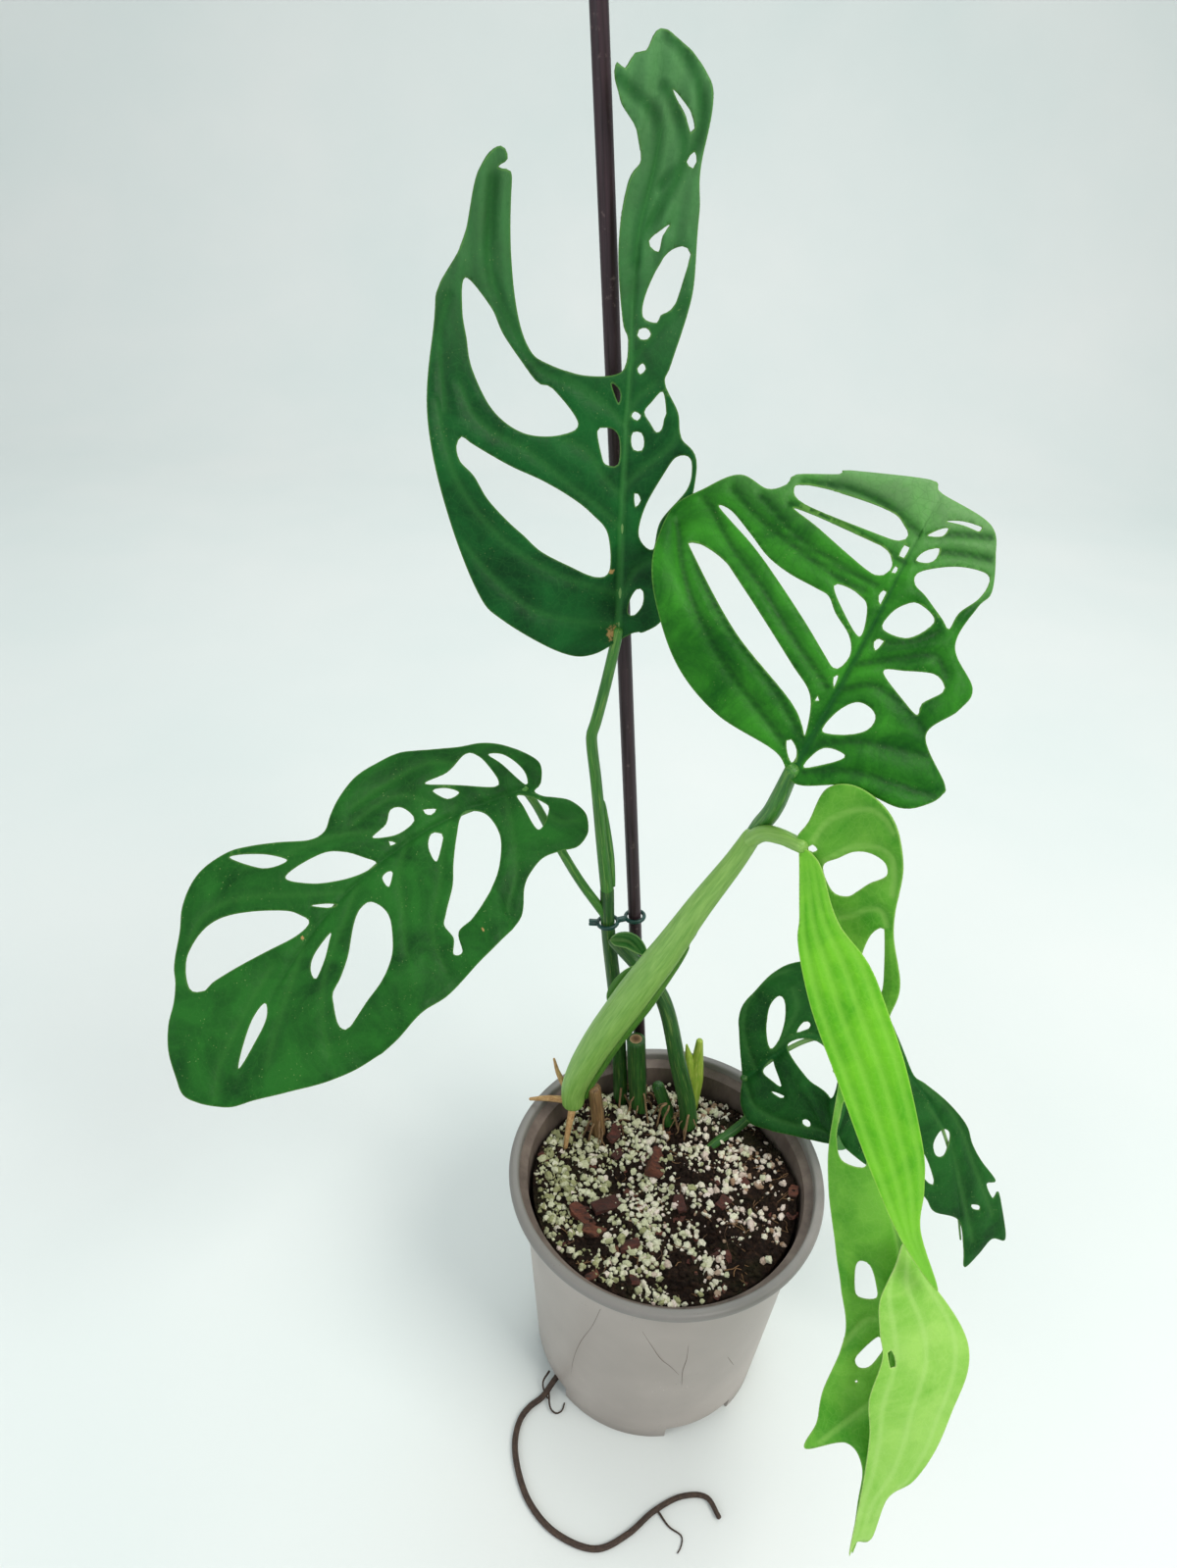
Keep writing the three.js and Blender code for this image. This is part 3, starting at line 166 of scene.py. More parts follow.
SHEATH_FOOT = stalk("-27 24 74, -28 26 106, -31 26.5 132", 3, 3, 2.8)
SHEATH = stalk(
    "-40 27 124, -39.6 26.8 133, -33 25.5 156.4, -19.6 21 192.6, -7.9 15 224.1, 0.8 9.5 250.1, "
    "10.4 5 274.9, 14.2 3.2 286",
    5, 6.2, 6.7, 6.8, 6.2, 5, 4.1, 3.2,
)
PETIOLE_UPPER = stalk(
    "-30.76 47.64 224.7, -34 45.4 250, -37.6 42.4 280, -39.7 40.4 296, -39.9 39.9 300.5, "
    "-38.9 39.4 305, -36 37.5 322, -33 36.8 342",
    2.6, 2.2, 2, 1.8,
)
PETIOLE_LEFT = stalk(
    "-30.7 47.7 211.2, -42 44.8 231.3, -52.1 45 250.5, -59 45 265, -63.4 42.4 274",
    2, 1.8, 1.7, 1.5,
)
PETIOLE_YOUNG = stalk("13.8 3.4 285, 17 -3 292.6, 21.2 -10 296.6, 26 -17 298.7", 2.9, 2.7, 2.3)
PETIOLE_RIGHT = stalk("13.6 9 277.5, 16.2 5 288.5, 18.6 -2 301, 20.5 -11 322", 2.6, 3, 2.9, 2.3)
PETIOLE_LOW = stalk(
    "13 17 96, 24.1 23.8 105, 31.9 28.2 108.5, 38.5 32.8 113, 40.6 37 120.5, 37.8 37.5 129, "
    "33.4 34.8 134.4",
    2, 2.1, 2, 1.7,
)
SHOOT = stalk("12 42 78, 13.5 44 105, 14.5 48 124, 14.5 50 139", 2.4, 3.2, 3.7, 1.6)
SHOOT_LOBE = stalk("13.5 45.5 110, 11.8 47.5 124, 9 49.5 137", 1.6, 2.7, 2.4, 0.5)
AIR_ROOTS = [
    stalk("-39.5 26.2 125, -41.5 19 113, -42.5 15.5 102", 1.9, 1.3, 0.8),
    stalk("-43 26 125, -51 28 123, -58.5 30 119.6", 1.6, 1.3, 0.7),
    stalk("-42 28 127, -47 33 134, -49 36 139", 1.5, 1.2, 0.5),
]
FLOOR_ROOT = stalk(
    "-31.4 -13 8.7, -32 -15 6.2, -36 -23 5.4, -41.5 -30 4.6, -47 -37 1.9, -52 -41 1.5, "
    "-55.8 -46.4 1.5, -57.5 -56 1.5, -55 -68 1.5, -49 -80 1.5, -38 -90 1.5, -21.6 -94.8 1.5, "
    "-9 -89 1.5, 2 -80 1.5, 14 -74 1.5, 24 -74 1.5, 28.5 -81 1.5",
    1.3, 1.3, 1.3, 1.2, 1,
)

# Thin rootlets of the long root, and thin lines on the outside of the pot wall: painted shadows of roots
# inside the pot, seen through the wall.
ROOTLETS = [
    stalk("3.6 -80 1, 7.9 -85.2 0.6, 13 -88.5 0.5, 12.4 -92.4 0.5, 11.1 -94.4 0.5", 0.5, 0.35, 0.25),
    stalk("-44.6 -27 4.5, -47 -31.4 4, -46.5 -34 2.2, -44.5 -36.8 0.6", 0.55, 0.4, 0.3),
    stalk("-44.2 -35 2.8, -43 -41.8 2.2, -40.5 -43.5 1.6, -38 -42 1, -37 -38.5 0.6", 0.5, 0.4, 0.3),
]
# Painted shadows: the courses of the root shadows on the pot wall.
ROOT_SHADOW_LINES = [
    read_points("-25.5 -52.1 99.6, -27.9 -49.4 83.2, -31.9 -45.2 63.7, -34.2 -41.6 44.2, -34.9 -39.2 26.2"),
    read_points("-9 -56.8 93.9, -4.9 -56.6 84.2, -0.3 -56.1 73.6, 4.2 -55.4 66.9, 8 -54.4 59.5"),
    read_points("9.5 -56 84.5, 9.9 -55.1 72.8, 9.3 -54.5 62.7, 10.1 -53.4 50"),
    read_points("28 -47.6 61.9, 32.3 -43.6 48.7"),
]

# The clip's two rings: middle, axis and inner radius.
CLIP_STEM = {"at": (-29.6, 47.7, 207.6), "axis": (-6.6, 0.8, 50), "inner": 3.2}
CLIP_CANE = {"at": (-18.6, 52.2, 207.6), "axis": (-0.0966, 0.031, 1), "inner": 3}
CLIP_THICK = 0.8

# Large bark chips on the soil: where, how long and turned how far.
BARK_PLACES = [
    (-3.3, 9, 14, 1.35), (-24, -12, 12, 0.5), (-34, -17.5, 12, 2.4), (-14.7, -30.5, 8, 0.2),
    (-21, 24.6, 10, 1.2), (-29, -24, 9, 2.9), (6, -10, 7, 1.9), (24, -8, 7, 0.9), (34, 6, 6, 2.2),
]

# Where stems stand in the soil, and how much room each takes.
STANDING = [
    (-18.5, 45.5, 4), (12, 34.5, 4.5), (-10.5, 42, 4.5), (3, 35, 4), (-28, 26, 4), (22.8, 23.7, 3),
    (13.5, 44, 3.5), (-8.6, 49, 3),
]

# A folded old leaf base at the node, and a pale flap that stands up behind the sheath's edge.
OLD_LEAF_BASE = leaf_shape(
    stations="""
        -27.5 41 204.5, 0 -0.8 0.6, 46 40, 8 6;
        -21 38 206.5, 0 -0.8 0.6, 40 36, 8 6;
        -14.8 34.5 202.5, 0 -0.8 0.6, 30 30, 8 6
    """,
    wave=(0.4, 20, 0),
    outline="""
        -1 0, 1 -2, 5 -4, 10 -4.6, 16.5 -1.5, 13 1.5, 8 3.2, 3 3, 0 1.5
    """,
    veins="""
        1 -2, 8 -3, 13 -1.5; 1 2, 8 3, 13 1.5
    """,
)
SHEATH_FLAP = leaf_shape(
    stations="""
        -27.5 28.5 181, -0.2 -0.9 0.3, 0 0, 0 0;
        -21.5 26 195, -0.2 -0.9 0.3, 0 0, 0 0;
        -14.5 23 210, -0.2 -0.9 0.3, 0 0, 0 0
    """,
    wave=(0.3, 20, 0),
    outline="""
        0 0, 4 -3.2, 12 -4.6, 22 -3.8, 30 -0.5, 26 3, 14 4, 4 3
    """,
    veins="""
        2 0, 14 -1, 28 0
    """,
)

# The upper leaf stands against the cane, with a torn finger on its left half.
UPPER = leaf_shape(
    stations="""
        -33 36 340, 0.1 -1 0.16, 12 12, -1 -2;
        -34 43 386, 0.1 -1 0.16, 10 14, -1 -3;
        -34 49 422, 0.1 -1 0.16, 6 14, -1 -4;
        -34 54 453, 0.1 -1 0.16, 0 10, 0 -4;
        -30 55 477, 0.3 -1 0.1, 0 10, 0 -3;
        -27 52 500, 0.2 -1 0.2, 0 0, 0 0
    """,
    wave=(2, 60, 0),
    outline="""
        -5 -8, -3.5 -19.5, 8 -38, 16.5 -45.5, 38.5 -53.5, 68.5 -59.5, 95.5 -57, 102.5 -55.5,
        112.5 -48.5, 124 -46.5, 129.5 -42, 127.5 -39.5, 125 -41.5, 125 -38, 119 -36.5, 97.5 -33.5,
        87 -30, 83 -25, 80 -13.5, 81.5 -2.5, 90 -1, 95.5 -3, 114.5 -5.5, 129.5 -6, 135.5 -4, 143 -7.5,
        148 -12, 153.5 -15, 157 -15, 156 -12.5, 159.5 -10.5, 160.5 -8, 165.5 -3.5, 155.5 11, 136.5 12.5,
        126 15.5, 104.5 17, 84.5 12, 79 10.5, 71 15, 64 16.5, 55.5 22, 27 18.5, 8.5 15, 2.5 8.5, 2 5
    """,
    windows="""
        62 -49.5, 59.5 -51, 55.5 -50, 51.5 -46, 45 -42, 38.5 -36, 34 -31, 29 -25.5, 24.5 -17, 20.5 -8,
        22.5 -3.5, 34 -4.5, 40 -9.5, 45 -16, 50 -25, 54 -34.5, 57.5 -41.5, 60.5 -47; 104.5 -48, 98 -41,
        90 -37, 78 -28, 76 -23, 66.5 -15, 63 -21, 63.5 -31.5, 69.5 -40.5, 80.5 -46.5, 89.5 -48, 97 -49;
        64.5 -9, 65.5 -7, 65 -4, 62 -2, 55 -2, 55 -6, 58 -7.5; 78 -5.5, 77 -3.5, 75 -2.5, 72.5 -3;
        33.5 5.5, 42.5 7, 53.5 12.5, 58 15.5, 58.5 19, 55.5 20.5, 48.5 19.5, 38.5 12, 29.5 10; 76.5 10,
        70.5 11.5, 69 11, 66 10.5, 65 9, 67.5 7, 70.5 5, 73.5 7; 69.5 4, 68 3, 69 1, 70.5 2; 62 5.5,
        59.5 5, 59.5 2.5, 62 1.5, 64.5 2, 64.5 4.5; 44.5 5.5, 42.5 4, 46.5 3.5, 46.5 4.5; 11.5 7.5, 8 5,
        8.5 3, 13 3.5, 16.5 5.5, 16 7.5; 92 5.5, 90.5 4.5, 90.5 2.5, 91.5 1.5, 93 2, 93.5 4; 82.5 4.5,
        81 3, 82.5 2, 84 3.5; 102.5 3.5, 113 8, 116.5 12.5, 115 15, 112.5 15, 100 12, 97 8, 95 7,
        96.5 3; 116.5 3, 122 8, 118.5 6.5, 114 6; 137.5 8.5, 140 10, 138 11, 136.5 10.5; 153 1, 148.5 7,
        145 9, 144 8, 147.5 5.5
    """,
    veins="""
        14.5 0, 18 -10.5, 22.5 -22, 29.5 -33.5, 37.5 -42, 44.5 -47.5, 51.5 -51.5, 63 -55, 71 -56.5;
        4.5 0, 6 -12, 11 -28.5, 21.5 -41, 31.5 -49.5; 35.5 0, 41 -6, 47 -14.5, 53 -22.5, 59 -31,
        63.5 -40.5, 68.5 -46.5, 76 -50; 45.5 -0.5, 51.5 -6.5, 58.5 -11.5, 62 -19; 67 -1.5, 71.5 -6,
        76 -12.5, 79.5 -19.5; 72 -8.5, 77.5 -18, 81.5 -27.5, 90.5 -33.5, 100.5 -38.5, 108 -41.5,
        115.5 -41.5, 122.5 -42; 69 -54.5, 80.5 -55.5, 92 -55.5, 100 -53; 14 1.5, 22 4.5, 26 10; 49 1,
        54 5.5, 60.5 13, 65.5 15.5; 66.5 -1, 74 2.5, 79 8; 82.5 0, 87 2.5, 95 9, 101 15.5; 110.5 0,
        124 0, 137 0, 146 -2, 151 -9, 154 -14; 117.5 1, 132 6.5, 140.5 7, 148.5 3, 153.5 -1.5; 131 3,
        141 10, 150.5 10, 160 4, 164.5 -2.5
    """,
)

# The left leaf hangs to the left and shows its upper side.
LEFT = leaf_shape(
    stations="""
        -62 42.1 275, 0.1 -0.62 0.78, 8 8, -1 -3;
        -89.6 28.6 269.2, 0.1 -0.62 0.78, 8 8, -1 -3;
        -112.3 12.6 259.7, 0.1 -0.62 0.78, 8 6, -1 -2;
        -130.2 -6.1 246.4, 0.1 -0.62 0.78, 7 6, -1 -2;
        -143.3 -27.3 229.4, 0.1 -0.62 0.78, 5 5, -1 -2;
        -151.6 -51.2 208.7, 0.1 -0.62 0.78, 4 4, -1 -1
    """,
    wave=(3, 55, 1),
    outline="""
        -1.5 -2, -3.5 -5, -7 -7, -12 -10.5, -15 -17, -13.5 -23, -11 -26, -6.5 -28, -0.5 -27, 5.5 -27,
        11.5 -30.5, 15.5 -34.5, 22 -44, 36.5 -48, 54.5 -50, 79 -50.5, 95 -47, 112.5 -44, 128.5 -37.5,
        138 -28.5, 145.5 -16, 150.5 -7, 154.5 -1, 156 4.5, 156.5 10, 155.5 15.5, 150.5 20, 143.5 25,
        136 28, 129.5 29, 124.5 31, 120.5 34, 112.5 37.5, 106.5 41.5, 100 44, 94.5 44, 88 41, 83.5 36.5,
        78 30, 71.5 22.5, 66.5 21, 62 24, 57 27, 49.5 30, 42.5 30.5, 34.5 30, 26.5 26, 18.5 23,
        10.5 21.5, 3.5 18.5, -3 13.5, -7.5 7, -5 0
    """,
    windows="""
        32.5 15, 25 15.5, 17 19.5, 13 17, 10.5 11, 9.5 6, 11.5 4.5, 20 8; 9.5 16.5, 4.5 15, 0.5 10,
        -1 5, 0.5 1.5, 6 11.5; 31.5 11.5, 27.5 10.5, 24 7, 28.5 6.5; 37.5 7, 33.5 5, 36 4, 37.5 5.5;
        56.5 8.5, 50.5 9.5, 46.5 13, 43 11.5, 41.5 6.5, 43.5 4.5, 50 4.5; 51.5 2, 53.5 2.5, 53 4, 52 3;
        84 19.5, 72 16, 66.5 11, 63 5, 61 0.5, 66.5 1, 73.5 4.5, 80.5 11; 89 39.5, 83 31, 80 23,
        86 27.5; 86 6, 82 2, 80.5 -0.5, 83 1; 116.5 31.5, 104.5 29, 93 13.5, 90.5 6.5, 91 3, 97 4,
        106 9.5, 121 20, 123.5 21, 124.5 26; 104 -7, 99 -5, 89.5 -5, 92 -6.5, 98.5 -9, 105.5 -10;
        142.5 1.5, 128.5 3, 120.5 1.5, 124 -1, 130.5 -1; 107 -17.5, 100.5 -17, 91.5 -14.5, 81 -9,
        76 -7.5, 72 -8.5, 70.5 -14, 73 -19.5, 81.5 -26.5, 92.5 -29.5, 104.5 -29, 115.5 -28, 117.5 -26,
        116 -23.5, 110.5 -19.5; 63 -5, 60 -4.5, 59 -6, 63.5 -9; 43 -6, 39.5 -2, 37 -3, 36.5 -5.5,
        43.5 -12; 44 -23, 38.5 -16, 31.5 -7, 26.5 -1, 22 -1, 18 -4.5, 16.5 -12, 18.5 -19, 24.5 -27,
        35 -33, 45 -36.5, 54 -37.5, 58.5 -43.5, 62.5 -42, 57.5 -38, 57 -32.5, 53 -29.5; 5 -1, 1 -3.5,
        -2 -6.5, -3.5 -10.5, 3 -16.5, 4.5 -6
    """,
    veins="""
        -1 -10, -5 -16.5, -12 -19; 9 0.5, 12 -15, 17 -29.5, 27 -40; 27 3, 37 -7, 48.5 -20.5, 63 -31.5,
        71 -44; 48 0.5, 58 -8, 65.5 -18.5, 78.5 -31; 71.5 -1, 85.5 -7, 101.5 -11.5, 115 -17.5,
        129.5 -25.5; 92 2, 106.5 -2.5, 121 -5, 139 -7; 109 5, 125.5 6, 143 7.5, 154 5; 14 5.5, 18 14,
        28.5 21.5, 42.5 22, 55.5 21.5; 34.5 8, 41 15.5, 50 17, 59 16.5; 48.5 2.5, 55.5 10, 66.5 18,
        80.5 26, 89 33; 76.5 1.5, 85.5 11.5, 96 26.5, 105 33.5, 113.5 33
    """,
)

# The right leaf stands up and folds down along its right margin.
RIGHT = leaf_shape(
    stations="""
        20 -12 321, -0.33 -0.78 0.55, 16 -6, 0 -3;
        32 -1 344, -0.33 -0.78 0.55, 18 -10, 0 -4;
        42 9 364, -0.33 -0.78 0.55, 16 -14, -1 -5;
        50 18 380, -0.33 -0.78 0.55, 10 -16, -1 -6;
        60 30 397, -0.28 -0.72 0.65, 4 -18, -2 -8
    """,
    wave=(2.5, 50, 2),
    outline="""
        4 -7, 5.5 -28, 12.5 -45.5, 25 -58, 41.5 -67.5, 57 -71, 67 -63, 73.5 -55, 73 -46, 76.5 -41.5,
        80.5 -40.5, 86.5 -29.5, 89 -27.5, 96 -5, 93.5 0, 93 17.5, 86 23.5, 76 27.5, 69 25.5, 55.5 24.5,
        47 35.5, 39.5 34.5, 29 29, 19.5 41, 16.5 42, 12 39.5, 7 32.5, 5.5 16.5, -1.5 2.5
    """,
    windows="""
        48.5 -60, 49.5 -56, 48 -48, 44.5 -41.5, 30 -17, 23.5 -6.5, 12.5 -2, 14.5 -4, 19.5 -11, 29.5 -34,
        45.5 -57; 63.5 -57.5, 63.5 -53, 59.5 -45, 55 -37, 53 -29, 52.5 -20, 52 -15.5, 48.5 -11.5,
        44.5 -5, 40 -2, 35.5 -2.5, 34 -4.5, 36.5 -9, 41.5 -17, 46.5 -25.5, 52.5 -36, 57 -44, 60.5 -51.5;
        55.5 -15.5, 57 -13, 56.5 -8, 54 -4, 45.5 -2, 51 -11; 71.5 -36, 72 -13.5, 71.5 -6, 68 -3,
        65.5 -3.5, 64 -5, 64 -9.5, 69 -27; 76.5 -39, 79 -36.5, 81 -28, 82.5 -11, 80.5 -5.5, 78 -3,
        75.5 -4.5, 74.5 -11.5, 73.5 -34; 7.5 -2, 4.5 -0.5, 3.5 -1.5, 5.5 -4, 8.5 -6, 9.5 -5; 29 -1.5,
        31.5 -3, 32.5 -2.5, 32.5 -2; 23.5 -3.5, 23 -4.5, 24.5 -4.5, 24 -4; 56.5 -1, 58.5 -2.5, 60.5 -2,
        60.5 -1; 66.2 -2.2, 66.5 -1.2, 68.2 -1, 68.4 -2; 71.5 -1, 71.5 -2.5, 75 -2.5, 75 -1; 44 4,
        46 2.5, 47.5 3.5, 47.5 5; 4 2.5, 9 3, 12.5 5.5, 13 11, 10 9.5; 16 2, 20.5 2, 25.5 4, 28.5 7,
        28.5 11, 26.5 13.5, 22.5 13, 18.5 8.5; 39.5 9, 42.5 14.5, 45.5 22.5, 44.5 26.5, 42 27.5,
        36.5 23.5, 33 24, 34.5 19; 50.5 3, 55.5 3, 59.5 5.5, 61.5 9, 59 15.5, 51.5 11; 69 4.5, 73 8.5,
        77.5 15.5, 80 23.5, 77.5 25.5, 71.5 24.5, 64.5 21, 59 20.5, 60.5 17.5, 62.5 13.5, 64.5 9.5,
        66 5.5; 72.5 2.5, 76 3.5, 79 7, 76 7.5, 73.5 6; 80.5 2, 83.5 4, 85.5 6.5, 82.5 6; 87 5,
        89.5 9.5, 91 15.5, 89.5 15.5, 88.5 10
    """,
    veins="""
        5.5 -1, 12.5 -17, 20 -33.5, 30 -47, 40 -57, 53 -67; 11.5 -2, 21 -17.5, 29.5 -35.5, 39.5 -50,
        48 -59; 28.5 -3.5, 37.5 -20.5, 46 -34.5, 53.5 -48.5, 61.5 -58.5, 64 -63; 61 -4.5, 62.5 -19,
        65 -32.5, 69 -42, 70.5 -46.5; 58 -7, 58.5 -15.5, 62 -33, 66.5 -48.5, 69.5 -55.5; 70.5 0,
        72.5 -14, 73.5 -27.5, 72 -38; 80 -0.5, 83.5 -11.5, 84 -24, 80 -37.5; 81 2, 85.5 10, 90 19.5;
        72.5 2.5, 79 9, 84.5 22.5; 46 3, 51 12, 57 18; 38 1, 45 11, 50.5 20, 47 26.5; 29.5 0.5, 35 9,
        33 21.5, 29.5 29.5; 12.5 2.5, 19 13.5, 22.5 25.5, 25 34; 3 3, 9.5 14, 12.5 26.5, 15 40
    """,
)

# The low leaf arches to the right over the rim of the pot.
LOW = leaf_shape(
    stations="""
        32.5 34 133, -0.1 -0.6 0.8, 10 10, -2 -2;
        48.5 35.5 152.5, -0.1 -0.6 0.8, 10 10, -2 -2;
        63.5 33.5 164, -0.1 -0.6 0.8, 8 6, -2 -2;
        82 28.5 165, -0.1 -0.6 0.8, 4 4, -2 -2;
        100.5 19 154, 0.1 -0.7 0.7, 0 0, -3 -3;
        116.5 6.5 130.5, 0.2 -0.8 0.6, 0 0, -3 -3;
        128.5 -14.5 82, 0.2 -0.9 0.4, 0 0, -3 -3
    """,
    wave=(3, 45, 0),
    outline="""
        1.5 -1.5, 13 -15.5, 17 -21, 21.5 -25, 28 -27.5, 35 -30.5, 40 -31.5, 48 -29.5, 58 -21, 70 -9,
        83 -1.5, 90.5 -3, 105 -7.5, 114 -10, 121 -10, 129 -12.5, 139.5 -18, 139.5 -13.5, 147 -16,
        145 -19, 159 -20.5, 167.5 -19.5, 165 -13.5, 170 -6.5, 174 0.5, 166 0, 152 1, 145 11.5, 138 14.5,
        128 21, 118.5 30.5, 99.5 38, 37 45.5, 20.5 41, 12 35.5, 5.5 29.5, -1.5 22.5, -7.5 15.5, -6.5 8,
        -3 3
    """,
    windows="""
        24 -12, 29 -18.5, 33.5 -20.5, 34 -16.5, 31 -10, 25 -4.5, 20 -3.5; 33.5 -4, 37.5 -7, 39.5 -6,
        38.5 -4; 26.5 0, 31.5 -1.5, 38 0.5, 44 5, 50.5 14.5, 46 25, 32.5 18.5, 28 10.5; 11 2, 17.5 0.5,
        17 3.5, 14.5 11.5, 12 7; 114.5 7, 111 4, 110 0.5, 112.5 -1.5, 116.5 0, 121 4, 119.5 7; 116 12.5,
        118.5 11.5, 131 10, 132 11.5, 127 14; 150 -9, 148.5 -6, 146.5 -5.5, 148 -9; 13 15.5, 11 15,
        9 11, 10.5 12; 16 31, 14 30.5, 13 28.5, 14 27.5, 16 28, 17 29.5
    """,
    veins="""
        8.5 -0.5, 14 -13.5, 22.5 -24.5, 32 -29, 38 -29; 20.5 -2, 31.5 -3.5, 40.5 -0.5, 43 3.5; 20 -3,
        30.5 -7, 37 -13, 38 -21.5; 0.5 2, -1 12, 8 26, 27.5 39.5; 88 -1.5, 107 -6, 128.5 -8.5, 154 -15;
        97 2, 117 0, 141 -2, 163 -4.5
    """,
)

# The far half of the young leaf, from its base lobe down to its tip.
YOUNG_BACK = leaf_shape(
    stations="""
        26.5 -17.5 297, -0.45 -0.7 0.55, 0 0, 7 0;
        40 -30 264, -0.45 -0.8 0.45, 0 0, 4 0;
        52 -46.5 229, -0.35 -0.85 0.4, 0 0, 0 0;
        62.5 -63 197, -0.25 -0.85 0.4, 0 0, 0 0;
        69.5 -76 172, -0.25 -0.85 0.4, 0 0, 0 0;
        68 -92.5 143, -0.25 -0.85 0.4, 0 0, 0 0;
        64 -109.5 113, -0.2 -0.85 0.4, 0 0, 0 0;
        60.5 -124 86, -0.1 -0.85 0.4, 0 0, 0 0
    """,
    wave=(4, 60, 0),
    outline="""
        -3.5 1, -9 -4.5, -18.5 -13, -17.5 -23, -7.5 -31, 8 -30, 29 -21, 48 -18.5, 59 -12.5, 72 -7.5,
        90 -4.5, 133.5 -3, 207 -3, 226 -2.5, 244.5 -0.5, 228 1, 214 2, 207.5 8.5, 213.5 21, 203.5 19,
        192 19, 171.5 15, 154.5 18.5, 136.5 20, 105 16.5, 77 7, 54.5 2.5, 7.5 1
    """,
    windows="""
        6 -5, 4 -10.5, 2.5 -16, 3.5 -21, 7 -24.5, 11.5 -23.5, 13.5 -17.5, 15.5 -13.5, 17 -9.5,
        14.5 -5.5; -1.5 -3.8, -1 -2.2, 0.2 -2, 0.9 -3, 0.3 -4.8; 29 -18, 28.5 -17, 30.5 -13.5, 36 -9.5,
        45 -5, 55 -4.5, 55.5 -8.5, 49 -12.5, 43 -14.5; 85 6.5, 91.5 4.5, 103.5 4, 108.5 5.5, 105.5 12,
        97.5 12, 90.5 9.5; 145.5 14, 142.5 12.5, 144 9.5, 150.5 7.5, 156 7, 157 12.5, 153 14; 179 10.5,
        176 9.5, 169 4.5, 172 2.5, 175.5 3.5, 180 6, 181 9; 186 8.5, 186.5 9, 186 9.5, 185.5 9
    """,
    veins="""
        -2.5 -4, -8 -10, -10.5 -18.5, -10.5 -24.5, -7.5 -28.5, -3 -30; 4.5 -5.5, 1 -15.5, 1.5 -23.5,
        5 -27, 11.5 -26, 18 -23.5; 24 -5.5, 23.5 -10, 22 -14.5, 23 -18.5, 28 -19; 175 15, 165.5 10,
        163.5 6.5; 210 16.5, 199.5 9, 192 3.5; 84 9.5, 93 10, 102 10
    """,
)

# The bright strap of the young leaf's near half.
YOUNG_STRAP = leaf_shape(
    stations="""
        26 -17.5 298.5, -0.5 -0.7 0.5, 0 0, -6 -6;
        29.5 -34 283, -0.3 -0.75 0.5, 0 0, -6 -6;
        35.5 -50 266.5, -0.2 -0.8 0.5, 0 0, -6 -6;
        45.5 -63.5 248, -0.1 -0.8 0.5, 0 0, -6 -6;
        55.5 -74 226.5, 0 -0.8 0.5, 0 0, -6 -6;
        65.5 -82 204.5, 0.1 -0.8 0.5, 0 0, -6 -6;
        77.5 -88 181, 0.2 -0.8 0.5, 0 0, 0 0
    """,
    wave=(0, 50, 0),
    outline="""
        -1 1.5, 1.5 1, 20 3.5, 33 6, 80.5 7, 123.5 5, 150 0.5, 126 -2, 112.5 -7.5, 94.5 -11.5,
        45.5 -14.5, 24.5 -7.5, 8.5 -5.5, 2.5 -3
    """,
    veins="""
        5 -3.5, 18 -4.5, 31.5 -4.5, 45 -2.5, 62 0.5, 76.5 2.5; 14 -6.5, 27.5 -8, 39.5 -9, 54 -8,
        68 -6.5, 79.5 -6; 10 0.5, 30.5 2, 44 2.5, 57.5 3, 71.5 5
    """,
)

# The lower lobe of the young leaf's near half, which shows its pale underside.
YOUNG_LOBE = leaf_shape(
    stations="""
        67.5 -76.5 190.5, 0.25 -0.85 0.5, 0 0, -4 -4;
        73.5 -89 169, 0.2 -0.85 0.5, 0 0, -4 -5;
        73.5 -101.5 146, 0.1 -0.85 0.5, 0 0, -4 -5;
        68.5 -113 118.5, 0.1 -0.85 0.5, 0 0, -4 -4;
        60 -124.5 85, 0.1 -0.85 0.5, 0 0, -4 -4
    """,
    wave=(6, 45, 0),
    outline="""
        7.5 5, 1.5 1, 1 -3.5, 8.5 -5.5, 18 -6.5, 37.5 -17.5, 57.5 -15.5, 71.5 -14, 84.5 -10, 93 -4,
        110.5 -5, 113 -0.5, 118.5 0, 92 5.5, 71.5 9.5, 56.5 13.5, 40.5 11.5, 30.5 13, 17.5 12.5
    """,
    windows="""
        40.5 7.5, 43.5 7, 44 8.5, 38.5 10, 37.5 9
    """,
    veins="""
        21 7, 38 0.5, 54.5 -3.5, 72.5 -5, 86.5 -0.5; 12.5 11, 27 -0.5, 36.5 -14; 86 4, 62 8, 50 9.5,
        41.5 11.5
    """,
)


